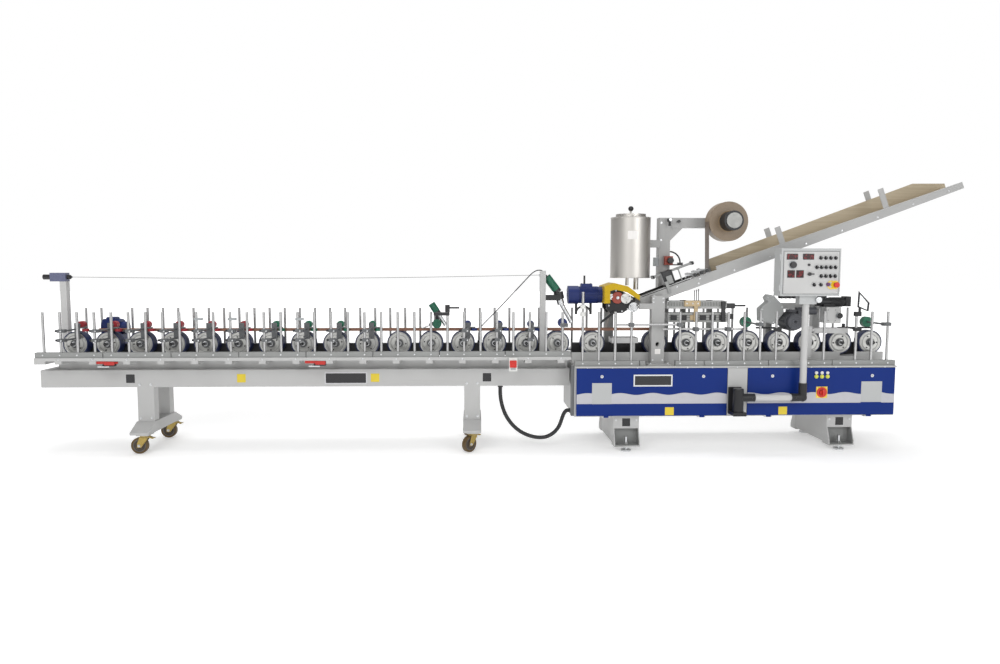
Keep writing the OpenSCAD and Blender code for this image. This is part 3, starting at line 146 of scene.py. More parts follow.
# Materials
class Shader:
    """A procedural material: a Principled shader and the nodes that feed it."""

    COLOR_A, COLOR_B, MIXED = 6, 7, 2  # the colour sockets of a Mix node

    def __init__(self, name, color, rough, metal=0.0, **extra):
        self.mat = bpy.data.materials.new(name)
        self.mat.use_nodes = True
        self.tree = self.mat.node_tree
        self.bsdf = self.tree.nodes["Principled BSDF"]
        self.color = (*color, 1.0)
        for socket, value in dict(Base_Color=self.color, Roughness=rough, Metallic=metal, **extra).items():
            self.feed(socket.replace("_", " "), value)
        self.coords = self.tree.nodes.new("ShaderNodeTexCoord").outputs["Object"]
        self.normal = None

    def add(self, kind, **inputs):
        node = self.tree.nodes.new(kind)
        for socket, value in inputs.items():
            self.put(node.inputs[socket.replace("_", " ")], value)
        return node

    def put(self, socket, value):
        if isinstance(value, bpy.types.NodeSocket):
            self.tree.links.new(value, socket)
        else:
            socket.default_value = value

    def feed(self, socket, value):
        self.put(self.bsdf.inputs[socket], value)

    def vector_math(self, operation, *values):
        node = self.tree.nodes.new("ShaderNodeVectorMath")
        node.operation = operation
        for socket, value in zip(node.inputs, values):
            self.put(socket, value)
        return node.outputs

    def stretched(self, scale):
        return self.add("ShaderNodeMapping", Vector=self.coords, Scale=scale).outputs["Vector"]

    def noise(self, scale, detail=3.0, vector=None):
        source = self.add("ShaderNodeTexNoise", Scale=scale, Detail=detail, Vector=vector or self.coords)
        return source.outputs["Fac"]

    def ramp(self, fac, low, high, start=0.0, end=1.0):
        return self.add("ShaderNodeMapRange", Value=fac, From_Min=start, From_Max=end,
                        To_Min=low, To_Max=high).outputs["Result"]

    def mix(self, fac, first, second):
        node = self.tree.nodes.new("ShaderNodeMix")
        node.data_type = "RGBA"
        for socket, value in (("Factor", fac), (self.COLOR_A, first), (self.COLOR_B, second)):
            self.put(node.inputs[socket], value)
        return node.outputs[self.MIXED]

    def shade(self, gain):
        return tuple(min(c * gain, 1.0) for c in self.color[:3]) + (1.0,)

    def vary(self, amount, scale=4.0, vector=None):
        """Uneven colour, darker and lighter than the mean."""
        fac = self.ramp(self.noise(scale, 5.0, vector), 0.0, 1.0, 0.3, 0.7)
        base = self.mix(fac, self.shade(1 - amount), self.shade(1 + amount))
        self.feed("Base Color", base)
        return base

    def uneven_gloss(self, low, high, scale=8.0, vector=None):
        fac = self.ramp(self.noise(scale, 4.0, vector), low, high, 0.3, 0.7)
        self.feed("Roughness", fac)

    def bump(self, fac, distance, strength=1.0):
        node = self.add("ShaderNodeBump", Height=fac, Distance=distance, Strength=strength)
        if self.normal:
            self.put(node.inputs["Normal"], self.normal)
        self.normal = node.outputs["Normal"]
        self.feed("Normal", self.normal)

    def soft_edges(self, radius):
        node = self.add("ShaderNodeBevel", Radius=radius)
        node.samples = 4
        self.normal = node.outputs["Normal"]
        self.feed("Normal", self.normal)
        return self.normal

    def worn_and_highlit_edges(self, base, tint, radius=0.0015):
        """A paler or darker line along the edges: partly thin paint, partly a painted highlight where the
        edges catch light.
        """
        rounded = self.soft_edges(radius)
        flat = self.tree.nodes.new("ShaderNodeNewGeometry").outputs["Normal"]
        likeness = self.vector_math("DOT_PRODUCT", rounded, flat)["Value"]
        fac = self.ramp(likeness, 0.7, 0.0, 0.86, 0.99)
        self.feed("Base Color", self.mix(fac, base, (*tint, 1.0)))


def paint(name, color, rough=0.42, edge=None, vary=0.03, grain=900.0, sheen=0.35):
    """Sprayed or powder paint: slight cloudiness, orange peel and paler edges, partly thin paint and partly a
    painted highlight.
    """
    s = Shader(name, color, rough, Specular_IOR_Level=sheen)
    base = s.vary(vary, 3.0)
    s.worn_and_highlit_edges(base, edge or tuple(min(1.0, c * 1.25 + 0.03) for c in color))
    s.uneven_gloss(rough - 0.06, rough + 0.08, 5.0)
    s.bump(s.noise(grain, 2.0), 0.00015, 0.35)
    return s.mat


def brushed(name, color, rough, scale, vary=0.06, spread=0.085, lift=0.25):
    """Ground or brushed metal; scale is large across the grain and small along it."""
    s = Shader(name, color, rough, 1.0)
    lines = s.stretched(scale)
    base = s.vary(vary, 1.0, lines)
    # paler edges: partly wear, partly a painted highlight along the metal's edges
    s.worn_and_highlit_edges(base, (0.85, 0.85, 0.86), 0.0008)
    s.uneven_gloss(rough - spread, rough + spread, 1.0, lines)
    s.bump(s.noise(1.0, 3.0, lines), 0.0001, lift)
    return s.mat


def plastic(name, color, rough=0.35, vary=0.04):
    s = Shader(name, color, rough)
    base = s.vary(vary, 30.0)
    # paler edges: partly wear, partly a painted highlight
    s.worn_and_highlit_edges(base, tuple(min(1.0, c * 1.15 + 0.015) for c in color), 0.001)
    s.bump(s.noise(1400.0, 1.0), 0.00008, 0.3)
    return s.mat


def rubber(name, color, rough=0.65):
    s = Shader(name, color, rough)
    s.vary(0.14, 40.0)
    s.soft_edges(0.0015)
    s.uneven_gloss(rough - 0.1, rough + 0.12, 60.0)
    s.bump(s.noise(700.0, 4.0), 0.0003, 0.5)
    return s.mat


def grained(name, dark, light, rough, scale, bump=0.0003):
    """Board or foil with a grain that runs along one direction."""
    s = Shader(name, light, rough)
    lines = s.stretched(scale)
    fac = s.ramp(s.noise(1.0, 8.0, lines), 0.0, 1.0, 0.34, 0.66)
    s.feed("Base Color", s.mix(fac, (*dark, 1.0), (*light, 1.0)))
    s.soft_edges(0.001)
    s.bump(s.noise(3.0, 4.0, lines), bump, 0.3)
    return s.mat


def wound(name, color, centre):
    """The end faces of a foil roll: fine rings round its axis."""
    s = Shader(name, color, 0.4)
    place = s.vector_math("SUBTRACT", s.coords, centre)["Vector"]
    flat = s.vector_math("MULTIPLY", place, (1, 0, 1))["Vector"]
    radius = s.vector_math("LENGTH", flat)["Value"]
    rings = s.add("ShaderNodeTexNoise", Scale=900.0, Detail=3.0)
    rings.noise_dimensions = "1D"
    s.put(rings.inputs["W"], radius)
    fac = s.ramp(rings.outputs["Fac"], 0.0, 1.0, 0.3, 0.7)
    s.feed("Base Color", s.mix(fac, s.shade(0.72), s.shade(1.2)))
    s.soft_edges(0.0015)
    s.bump(rings.outputs["Fac"], 0.0003, 0.4)
    return s.mat


def clear(name, color):
    s = Shader(name, color, 0.06, Transmission_Weight=0.9, IOR=1.2, Alpha=0.55)
    s.vary(0.02, 20.0)
    return s.mat


def lit(name, color, glow, strength):
    """A display window with a dim lit middle."""
    s = Shader(name, color, 0.18, Emission_Strength=strength)
    bars = s.stretched((90.0, 1.0, 60.0))
    fac = s.ramp(s.noise(1.0, 0.0, bars), 0.0, 1.0, 0.5, 0.62)
    s.feed("Emission Color", s.mix(fac, (0.02, 0, 0, 1), (*glow, 1.0)))
    s.vary(0.1, 30.0)
    return s.mat


FRAME_GREY = paint("frame_light_grey", (0.455, 0.455, 0.45), 0.42, (0.62, 0.62, 0.62))
# painted shade: a darker copy of the frame grey, for the shade on the column inside the machine; the trough
# and a patch on the tank take it too
SHADED_COLUMN_GREY = paint("shaded_column_grey", (0.36, 0.36, 0.355), 0.42, (0.55, 0.55, 0.55))
BOX_GREY = paint("box_light_grey", (0.44, 0.45, 0.45), 0.5, (0.56, 0.57, 0.56), 0.02, 1800.0)
WHITE = paint("white_paint", (0.50, 0.50, 0.495), 0.38, (0.66, 0.66, 0.66))
BAR_GREY = paint("bar_grey", (0.27, 0.275, 0.27), 0.38, (0.5, 0.5, 0.5), 0.08)
DARK_GREY = paint("dark_grey_paint", (0.13, 0.135, 0.14), 0.45, (0.3, 0.3, 0.3), 0.1)
MOTOR_GREY = paint("motor_grey", (0.075, 0.078, 0.088), 0.42, (0.2, 0.2, 0.21), 0.1)
MID_GREY = paint("mid_grey_paint", (0.27, 0.275, 0.27), 0.45, (0.45, 0.45, 0.45), 0.06)
BLACK = paint("black_paint", (0.018, 0.018, 0.02), 0.36, (0.10, 0.10, 0.10), 0.15)
BLUE = paint("door_blue", (0.004, 0.024, 0.175), 0.36, (0.02, 0.06, 0.26), 0.03, 1400.0, 0.16)
NAVY = paint("motor_navy", (0.010, 0.022, 0.12), 0.36, (0.05, 0.08, 0.26), 0.1)
YELLOW = paint("guard_yellow", (0.50, 0.33, 0.008), 0.4, (0.66, 0.50, 0.08), 0.05, sheen=0.2)
RED = paint("red_paint", (0.46, 0.03, 0.025), 0.35, (0.7, 0.2, 0.16), 0.08)
ROD = brushed("rod_steel", (0.48, 0.48, 0.48), 0.32, (220.0, 220.0, 9.0), 0.05)
STEEL = brushed("machined_steel", (0.62, 0.63, 0.64), 0.3, (260.0, 60.0, 260.0))
DISC = brushed("turned_disc", (0.54, 0.54, 0.52), 0.36, (30.0, 8.0, 30.0), 0.06)
TANK_STEEL = brushed("tank_stainless", (0.56, 0.54, 0.51), 0.40, (1.5, 1.5, 700.0), 0.008, 0.012, 0.01)
FLANGE = brushed("reel_flange", (0.27, 0.27, 0.26), 0.46, (30.0, 8.0, 30.0), 0.06)
ZINC = brushed("yellow_zinc", (0.42, 0.31, 0.10), 0.33, (60.0, 60.0, 60.0), 0.18)
TREAD = rubber("tread_navy", (0.012, 0.022, 0.085), 0.5)
TYRE = rubber("tyre_amber", (0.10, 0.06, 0.018), 0.5)
BROWN_IRON = rubber("hub_brown_iron", (0.055, 0.04, 0.028), 0.5)
CORD = rubber("cord_black", (0.02, 0.02, 0.022), 0.55)
RED_ROLLER = rubber("roller_red", (0.33, 0.02, 0.03), 0.45)
GREEN_ROLLER = rubber("roller_green", (0.01, 0.14, 0.075), 0.45)
NAVY_ROLLER = rubber("roller_navy", (0.012, 0.03, 0.15), 0.45)
BRICK = rubber("coating_roller", (0.30, 0.05, 0.03), 0.5)
BLACK_PLASTIC = plastic("black_plastic", (0.016, 0.016, 0.018))
RED_PLASTIC = plastic("red_plastic", (0.58, 0.02, 0.012), 0.3)
YELLOW_PLASTIC = plastic("yellow_plastic", (0.82, 0.58, 0.02), 0.4)
PURPLE_PLASTIC = plastic("purple_plastic", (0.10, 0.02, 0.10), 0.3)
WHITE_PLASTIC = plastic("white_plastic", (0.68, 0.68, 0.66), 0.45)
GREY_PLASTIC = plastic("grey_plastic", (0.34, 0.36, 0.37), 0.5)
BAND = plastic("white_band", (0.47, 0.47, 0.50), 0.4, 0.02)
LAMP = plastic("lamp_lens", (0.62, 0.64, 0.07), 0.2)
DISPLAY = lit("red_display", (0.02, 0.003, 0.003), (0.50, 0.02, 0.03), 0.28)
PANE = clear("clear_pane", (0.85, 0.9, 0.9))
LINER = grained("trough_liner", (0.40, 0.335, 0.235), (0.47, 0.40, 0.285), 0.5, (2.0, 90.0, 90.0), 0.0001)
BOARD = grained("profile_board", (0.17, 0.075, 0.045), (0.27, 0.13, 0.08), 0.45, (6.0, 200.0, 200.0))
FOIL = grained("foil_brown", (0.09, 0.06, 0.04), (0.15, 0.105, 0.075), 0.35, (60.0, 60.0, 6.0), 0.0001)
ROLL = wound("foil_rings", (0.21, 0.155, 0.10), at(*REEL))
PATCH = plastic("yellow_patch", (0.68, 0.52, 0.03), 0.45, 0.03)
PLATE_BLACK = plastic("black_plate", (0.012, 0.012, 0.014), 0.25, 0.02)
PLATE_EDGE = brushed("plate_edge", (0.55, 0.55, 0.56), 0.35, (40.0, 300.0, 300.0))
LABEL = plastic("bare_label", (0.74, 0.72, 0.70), 0.4, 0.02)
HEATER_GREY = paint("heater_grey", (0.36, 0.365, 0.355), 0.5, (0.55, 0.55, 0.54), 0.1)
GUARD_GREY = paint("guard_grey", (0.40, 0.41, 0.405), 0.45, (0.6, 0.6, 0.6), 0.06)
BLUE_GREY = plastic("switch_blue_grey", (0.11, 0.12, 0.20), 0.4, 0.05)
HEATER_TAN = paint("heater_tan", (0.52, 0.40, 0.24), 0.55, (0.66, 0.55, 0.38), 0.1)

# Free cords, on the routes that part.scad gives them
HOSE_ROUTE = [(3470, -120, 475), (3470, -120, 430), (3476, -121, 370), (3492, -124, 305),
              (3520, -128, 240), (3562, -134, 180), (3618, -142, 130), (3685, -150, 95),
              (3760, -160, 78), (3830, -170, 84), (3890, -178, 118), (3930, -186, 170),
              (3950, -192, 225), (3968, -198, 276), (3990, -200, 300), (4010, -200, 300)]
GUN_ROUTE = [(3826, -100, 1358), (3815, -100, 1378), (3792, -99, 1394), (3760, -98, 1394),
             (3728, -96, 1378), (3700, -93, 1352), (3672, -90, 1322), (3600, -80, 1244),
             (3520, -68, 1158), (3440, -54, 1072), (3370, -36, 1000), (3325, -16, 950),
             (3305, 14, 910), (3300, 31, 870), (3300, 31, 832)]
WIRE_ROUTE = [(115, 25, 1337), (1300, -28, 1328), (2600, -90, 1336), (3769.5, -142, 1358)]


def smooth(route, steps):
    """The points of a route with even steps between them, as part.scad smooths its tubes."""
    points = [Vector(p) for p in route]
    out = []
    for i in range(len(points) - 1):
        a, b, c = points[max(i - 1, 0)], points[i], points[i + 1]
        d = points[min(i + 2, len(points) - 1)]
        for t in (j / steps for j in range(steps)):
            out.append(0.5 * (2 * b + (c - a) * t + (2 * a - 5 * b + 4 * c - d) * t ** 2
                              + (3 * b - a - 3 * c + d) * t ** 3))
    return out + [points[-1]]


def cord(node, route, steps, diameter, **facts):
    """A round tube of one open curve, in the place of a cord's CAD node."""
    data = bpy.data.curves.new(node + "_cord", "CURVE")
    data.dimensions = "3D"
    data.bevel_depth = diameter / 2000
    data.bevel_resolution = 5
    data.resolution_u = 8
    data.use_fill_caps = True
    points = smooth(route, steps)
    spline = data.splines.new("BEZIER")
    spline.bezier_points.add(len(points) - 1)
    for knot, point in zip(spline.bezier_points, points):
        knot.co = at(*point)
        knot.handle_left_type = knot.handle_right_type = "AUTO"
    data.materials.append(CORD)
    piece = new_object(node + "_cord", data)
    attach(piece, "machine")
    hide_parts(node)


cord("supply_hose", HOSE_ROUTE, 2, 30, stiffness="stiff", lay="hanging")
cord("gun_cord", GUN_ROUTE, 2, 8, stiffness="medium", lay="hanging")
cord("pull_wire", WIRE_ROUTE, 6, 3, stiffness="medium", lay="taut")

# Finishes of the CAD solids, which are told apart by their boxes in layout millimetres
Part = namedtuple("Part", "x0 y0 z0 x1 y1 z1 dx dy dz faces")
FOOT_X = (BASE_X + 410, BASE_X + 2090)
TOGGLE_X = (429, 1989)


def solids(node):
    """The separate solids of a CAD node, each with its box in layout millimetres and its faces."""
    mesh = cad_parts[node].data
    seen, group = {}, []
    for v in mesh.vertices:
        key = tuple(round(c, 6) for c in v.co)
        group.append(seen.setdefault(key, v.index))
    parent = list(range(len(group)))

    def top(i):
        while parent[i] != i:
            parent[i] = parent[parent[i]]
            i = parent[i]
        return i

    for face in mesh.polygons:
        first = top(group[face.vertices[0]])
        for v in face.vertices[1:]:
            parent[top(group[v])] = first
    faces = {}
    for face in mesh.polygons:
        faces.setdefault(top(group[face.vertices[0]]), []).append(face.index)
    found = []
    for members in faces.values():
        points = [mesh.vertices[v].co for f in members for v in mesh.polygons[f].vertices]
        low = [min(p[i] for p in points) * 1000 for i in range(3)]
        high = [max(p[i] for p in points) * 1000 for i in range(3)]
        for box in (low, high):
            box[0] += SHIFT_X * 1000
            box[1] += SHIFT_Y * 1000
        found.append(Part(*low, *high, *(b - a for a, b in zip(low, high)), members))
    return found


def finish(node, default, *rules, spots=()):
    """Gives each solid of a node the first material whose test it meets, or the default.

    Spots are tests on a face's middle: they tell apart the pieces that one solid joins."""
    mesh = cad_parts[node].data
    choices = list(rules) + list(spots)
    mesh.materials.clear()
    for material in [default] + [material for _, material in choices]:
        mesh.materials.append(material)
    for part in solids(node):
        slot = next((i for i, (test, _) in enumerate(rules, 1) if test(part)), 0)
        for index in part.faces:
            face = mesh.polygons[index]
            middle = sum((mesh.vertices[v].co for v in face.vertices), Vector()) / len(face.vertices)
            x, y, z = (middle.x + SHIFT_X) * 1000, (middle.y + SHIFT_Y) * 1000, middle.z * 1000
            face.material_index = next((i for i, (test, _) in enumerate(spots, len(rules) + 1)
                                        if test(x, y, z)), slot)


def within(x0, x1, y0, y1, z0, z1):
    """A spot test: inside a box of layout millimetres."""
    return lambda x, y, z: x0 < x < x1 and y0 < y < y1 and z0 < z < z1


def shaded_foot_inside(x, y, z):
    """A spot test: the inner faces of the base's feet, without their studs, which take a darker grey as
    painted shade.
    """
    dx = min(abs(x - foot) for foot in FOOT_X)
    stud = dx < 14 and abs(abs(y) - 302) < 14 and z > 53
    return dx < 92.5 and 244 < abs(y) < 346 and 45 < z < 176 and not stud


def on_table(y0, y1, low):
    """A spot test: a strip of the roller table, in the trough's own directions."""
    def test(x, y, z):
        dx, dz = x - TROUGH[0], z - TROUGH[1]
        along = dx * math.cos(SLOPE) + dz * math.sin(SLOPE)
        up = dz * math.cos(SLOPE) - dx * math.sin(SLOPE)
        return 9 < along < 451 and y0 < y < y1 and low < up < 88
    return test


finish("outfeed_frame", FRAME_GREY,
    (lambda p: p.dx < 70 and p.y1 < -330, WHITE_PLASTIC),  # start box
    (lambda p: p.dx < 60 and p.z1 < 500, BLACK_PLASTIC),  # gland
    spots=[(within(x, x + 172, -331, -299, 693, 715.9), RED) for x in TOGGLE_X])
finish("base_frame", FRAME_GREY,
    (lambda p: p.z1 < 290 and p.dx < 90, STEEL),
    (lambda p: p.x0 < BASE_X and p.dy > 55 and p.dx < 40 and p.dz > 100, DARK_GREY),  # cable channel
    (lambda p: p.x0 < BASE_X and p.dx < 40, BLACK_PLASTIC),  # gland
    (lambda p: p.dx < 110 and p.y0 < -450, BLACK),
    (lambda p: p.z0 > 700 and p.dx < 220, WHITE),  # tray
    # the feet's inner faces take mid grey: painted shade
    spots=[(within(4060, 6480, 190, 325.5, 329, 601), BOX_GREY), (shaded_foot_inside, MID_GREY)])
finish("clamp_bars", BAR_GREY, (lambda p: p.dx < 20, STEEL))
finish("guide_rods", ROD,
    (lambda p: 32 < p.dx < 36, DARK_GREY),
    (lambda p: p.dz < 40 and 36 < p.dx < 60, WHITE_PLASTIC))
finish("drive_line", BLACK,
    (lambda p: p.dx < 100 and p.dz < 40, STEEL),
    (lambda p: p.y1 > 150, NAVY))
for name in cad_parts:
    if name.startswith("drive_wheel"):
        finish(name, DISC, (lambda p: p.dx > 185, TREAD), (lambda p: p.dy > 100, DARK_GREY))
    elif name.startswith("caster_fork"):
        finish(name, ZINC)
    elif name.startswith("caster_wheel"):
        finish(name, DARK_GREY, (lambda p: p.dz > 110, TYRE))
DOOR_RULES = (
    (lambda p: p.dy > 12, BLUE),
    (lambda p: p.dz > 130, BOX_GREY),
    (lambda p: 65 < p.dz < 75, PLATE_BLACK),
    (lambda p: p.dy < 1.2 or p.dx > 800, BAND))
finish("door_left", STEEL, *DOOR_RULES)
finish("door_right", STEEL, *DOOR_RULES,
    (lambda p: p.dz > 29 and p.z0 > 560 and p.dy > 3.5, LAMP),
    (lambda p: p.dz < 23 and p.z0 > 560, LAMP),
    spots=[(within(5901, 5991, -352.7, -351.5, 415, 505), YELLOW_PLASTIC),
           (within(5901, 5991, -359, -352.7, 415, 505), BLACK_PLASTIC)])
finish("main_switch", RED_PLASTIC)
finish("panel_arm", BLACK, (lambda p: 49 < p.dy < 51, WHITE))
finish("control_box", BOX_GREY,
    (lambda p: p.dx > 400 and p.dy < 5, WHITE),
    (lambda p: p.dy < 5 and p.dx > 75 or 47 < p.dz < 49, DISPLAY),
    (lambda p: p.dy > 20 and p.z1 < 1210, STEEL),
    (lambda p: p.dz > 60 and p.dx < 70, YELLOW_PLASTIC),
    (lambda p: abs((p.x0 + p.x1) / 2 - 5892) < 6 and p.z1 < 1320, PURPLE_PLASTIC),
    (lambda p: p.dx < 60, BLACK_PLASTIC))
finish("estop_button", RED_PLASTIC)
# the column's darker grey is painted shade
finish("glue_column", SHADED_COLUMN_GREY,
    (lambda p: 60 < p.dx < 68 and 60 < p.dz < 75, BRICK),
    (lambda p: 30 < p.dx < 38 and 60 < p.dz < 75, GREY_PLASTIC),
    (lambda p: p.dx < 120 and p.dz < 150, BLACK_PLASTIC),
    spots=[(within(4857.4, 4980, 87, 127, 1430, 1560), BLACK_PLASTIC)])
finish("infeed_trough", SHADED_COLUMN_GREY,
    (lambda p: p.dx > 1800 and p.x0 > 5100, LINER),
    (lambda p: p.dy > 180 and p.dx < 60, STEEL),
    (lambda p: p.dx < 460, BLACK),
    spots=[(on_table(y0, y1, low), material) for y0, y1, low, material in (
        (-154.1, -145.9, 54, ROD), (42.1, 44.2, 54, ROD),
        (27.9, 42.2, 62.2, BLACK), (-138.1, -123.9, 62.2, BLACK))])
finish("glue_head", BLACK,
    (lambda p: p.y0 < -190 and p.dy > 200, YELLOW),
    (lambda p: p.x0 < 4012, NAVY),
    (lambda p: p.y1 > 100, MID_GREY),
    (lambda p: 150 < p.dy < 180, BRICK),
    (lambda p: p.x0 > 4405 and p.x1 < 4495 and p.y1 < -150, WHITE_PLASTIC),
    (lambda p: p.y0 < -175, STEEL),
    spots=[(within(4000, 4236, -80, 0, z0, z1), BLACK_PLASTIC)
           for z0, z1 in ((1040, 1129.4), (1285.2, 1360))])
finish("glue_tank", TANK_STEEL, spots=[(within(4613, 4768, 59.9, 100.1, 1579, 1641), SHADED_COLUMN_GREY)])
finish("tank_lid", TANK_STEEL, (lambda p: p.dz < 50 and p.dx < 60, BLACK_PLASTIC))
finish("roll_mandrel", FLANGE, (lambda p: 140 < p.dx < 160, BLACK))
finish("foil_roll", ROLL)
finish("foil_web", FOIL)
finish("sample_profile", BOARD)


def roller(p):
    """A solid test: the roller of a press unit."""
    return p.dx > 44 and 45 < p.dy < 51


finish("press_rollers", DARK_GREY,
    (lambda p: roller(p) and p.x0 < 1600, RED_ROLLER),
    (lambda p: roller(p) and (p.x0 < 2700 or p.x0 > BASE_X), GREEN_ROLLER),
    (roller, NAVY_ROLLER),
    (lambda p: p.z0 > 1015, GREY_PLASTIC))
finish("air_heaters", BLACK_PLASTIC,
    (lambda p: 2960 < p.x0 < 2990 and p.dx < 90, STEEL),
    (lambda p: 126 < p.dx < 128, HEATER_TAN),
    (lambda p: p.dx > 460 and p.dz < 14, WHITE),
    (lambda p: p.dx > 400, HEATER_GREY),
    spots=[(within(3769, 3831, -289.1, -119, 740, 751.6), FRAME_GREY),
           (within(3776, 3824, -165, -119, 740, 1393), FRAME_GREY),
           (within(3760, 3777, -165, -119, 1340, 1375), STEEL),
           (within(3925, 4060, -140, -60, 950, 1168.4), STEEL)])
finish("brush_unit", BLACK,
    (lambda p: 60 < p.dx < 90 and p.dy < 4, PANE),
    (lambda p: p.y1 > 150, FRAME_GREY),
    (lambda p: p.y1 > 80, MOTOR_GREY),
    spots=[(within(5480, 6000, -140, -119, 935, 976), BLACK),
           (within(5480, 6000, -331, -225, 900, 976), BLACK),
           (within(5872, 5940, -216, -149, 699, 961), WHITE),
           (within(5938, 6214, -200.1, -114.9, 903, 944.1), WHITE),
           (within(6032, 6152, -200.1, -90.1, 982, 1109.2), WHITE),
           (within(6100, 6160, -223, -199.9, 1015, 1070), GREY_PLASTIC),
           (within(5540, 5750, -90.1, -9.9, 960, 1210), GUARD_GREY)])
finish("pull_switch", WHITE, (lambda p: p.dy < 45 and p.dz < 45, BLACK_PLASTIC),
    spots=[(within(-42, 80, -7, 57, 1303.1, 1371), BLUE_GREY)])

# Trim in mesh code
SHARP = math.radians(32)


class Form:
    """One piece of turned, extruded and swept shapes; its points are layout millimetres."""

    def __init__(self, name, body="machine"):
        self.name, self.body = name, body
        self.bm = bmesh.new()
        self.materials = []

    def skin(self, rings, material, closed=True, caps=True):
        """Faces between neighbouring rings of points, which have one point or all the same number."""
        if material not in self.materials:
            self.materials.append(material)
        slot = self.materials.index(material)
        rings = [[self.bm.verts.new(p) for p in ring] for ring in rings]
        count = max(len(ring) for ring in rings)
        for a, b in zip(rings, rings[1:]):
            for k in range(count if closed else count - 1):
                m = (k + 1) % count
                corners = [a[k % len(a)], a[m % len(a)], b[m % len(b)], b[k % len(b)]]
                face = self.bm.faces.new(list(dict.fromkeys(corners)))
                face.material_index = slot
        for ring in (rings[0], rings[-1]) if caps else ():
            if len(ring) > 2:
                self.bm.faces.new(ring).material_index = slot

    def turned(self, place, axis, profile, material, sides=24):
        """A turned shape; the profile holds (radius, distance along the axis)."""
        turn = Vector(axis).to_track_quat("Z", "Y").to_matrix()
        rings = []
        for radius, along in profile:
            angles = [math.tau * k / sides for k in range(sides if radius > 0.01 else 1)]
            rings.append([Vector(place) + turn @ Vector((radius * math.cos(a), radius * math.sin(a), along))
                          for a in angles])
        self.skin(rings, material, caps=False)

    def plate(self, place, axis, outline, depth, material, chamfer=0.0, up="Y"):
        """An outline extruded along an axis, with a chamfer round its far end."""
        turn = Vector(axis).to_track_quat("Z", up).to_matrix()
        middle = sum((Vector(p) for p in outline), Vector((0, 0))) / len(outline)
        levels = [(0.0, 1.0), (depth - chamfer, 1.0)]
        if chamfer:
            reach = max((Vector(p) - middle).length for p in outline)
            levels.append((depth, 1 - chamfer / reach))
        rings = []
        for along, size in levels:
            flat = [middle + (Vector(p) - middle) * size for p in outline]
            rings.append([Vector(place) + turn @ Vector((p.x, p.y, along)) for p in flat])
        self.skin(rings, material)

    def sweep(self, points, diameter, material, sides=10):
        """A fixed pipe or lead through points."""
        points = [Vector(p) for p in points]
        rings = []
        for i, point in enumerate(points):
            along = points[min(i + 1, len(points) - 1)] - points[max(i - 1, 0)]
            turn = along.to_track_quat("Z", "Y").to_matrix()
            rings.append([point + turn @ Vector((math.cos(a), math.sin(a), 0)) * diameter / 2
                          for a in (math.tau * k / sides for k in range(sides))])
        self.skin(rings, material)

    def screw(self, place, axis, across, material=STEEL):
        """A hexagon head on its washer."""
        rim, top = across * 0.72, across * 0.55
        self.turned(place, axis, [(0, 0), (rim, 0), (rim, across * 0.1), (0, across * 0.1)], material, 20)
        self.turned(Vector(place) + Vector(axis) * across * 0.1, axis,
                    [(0, 0), (across * 0.5, 0), (across * 0.5, top - across * 0.07),
                     (across * 0.42, top), (0, top)], material, 6)

    def cap_screw(self, place, axis, d, material=BLACK):
        """A socket head with its recess."""
        self.turned(place, axis, [(0, 0), (d * 0.5, 0), (d * 0.5, d * 0.42), (d * 0.44, d * 0.5),
                                  (d * 0.26, d * 0.5), (d * 0.26, d * 0.2), (0, d * 0.2)], material, 16)

    def done(self):
        bmesh.ops.recalc_face_normals(self.bm, faces=self.bm.faces)
        for v in self.bm.verts:
            v.co = at(*v.co)
        for face in self.bm.faces:
            face.smooth = True
        for edge in self.bm.edges:
            edge.smooth = len(edge.link_faces) == 2 and edge.calc_face_angle() < SHARP
        mesh = bpy.data.meshes.new(self.name)
        self.bm.to_mesh(mesh)
        self.bm.free()
        for material in self.materials:
            mesh.materials.append(material)
        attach(new_object(self.name, mesh), self.body)


def slab(w, h, corner=0.0, sides=4):
    """The outline of a rectangle with round corners, about its middle."""
    if not corner:
        return [(-w / 2, -h / 2), (w / 2, -h / 2), (w / 2, h / 2), (-w / 2, h / 2)]
    points = []
    for n, (x, y) in enumerate([(1, 1), (-1, 1), (-1, -1), (1, -1)]):
        for k in range(sides + 1):
            a = math.pi / 2 * (n + k / sides)
            points.append((x * (w / 2 - corner) + corner * math.cos(a),
                           y * (h / 2 - corner) + corner * math.sin(a)))
    return points


def boss(radius, height, inset, drop, inner=0, base=0):
    """The profile of a boss with a chamfered rim, or of a ring where there is an inner radius."""
    return [(inner, base), (radius, base), (radius, height - drop), (radius - inset, height), (inner, height)]


def finned(radius, fins, height, gap=0.0):
    """The outline of a round jacket with straight fins or flutes."""
    points = []
    for k in range(fins):
        middle = math.tau * k / fins
        low = abs(math.cos(middle)) < gap
        for off, r in ((-0.35, radius), (-0.2, radius + height), (0.2, radius + height), (0.35, radius)):
            a = middle + off * math.tau / fins
            r = radius if low else r
            points.append((r * math.cos(a), r * math.sin(a)))
    return points


FRONT, BACK, RIGHT, LEFT, UP, DOWN = (0, -1, 0), (0, 1, 0), (1, 0, 0), (-1, 0, 0), (0, 0, 1), (0, 0, -1)
WHEEL_X0, PITCH_X, AXIS_Z, WHEEL_FACE_Y, SCREW_CIRCLE = 175.0, 250.0, 822.0, -90.0, 52
OUTFEED_X = [WHEEL_X0 + k * PITCH_X for k in range(16)]
INFEED_X = [BASE_X + WHEEL_X0 + k * PITCH_X for k in range(10) if k != 1]
ROW_Y, ROD_X0, ROD_STEP, ROD_TOP = 310.0, 62.5, 125, 1080
BAR_END_Y, BAR_SCREW_Z = 338, 728
BEAM_FRONT_Y, DOOR_Y, HEATER_Y, FASCIA_Y = -185.0, -350.3, -110, -352.3
COLUMN_X, COLUMN_Y = 4690, -238.3
POST_X, POST_Y = 4812, 84
ARM_X, ARM_Y, ARM_Z = 5265, -430, 435
SWITCH_X, SWITCH_Z = 5946, 460
LAMP_X = (5899, 5943, 5987)

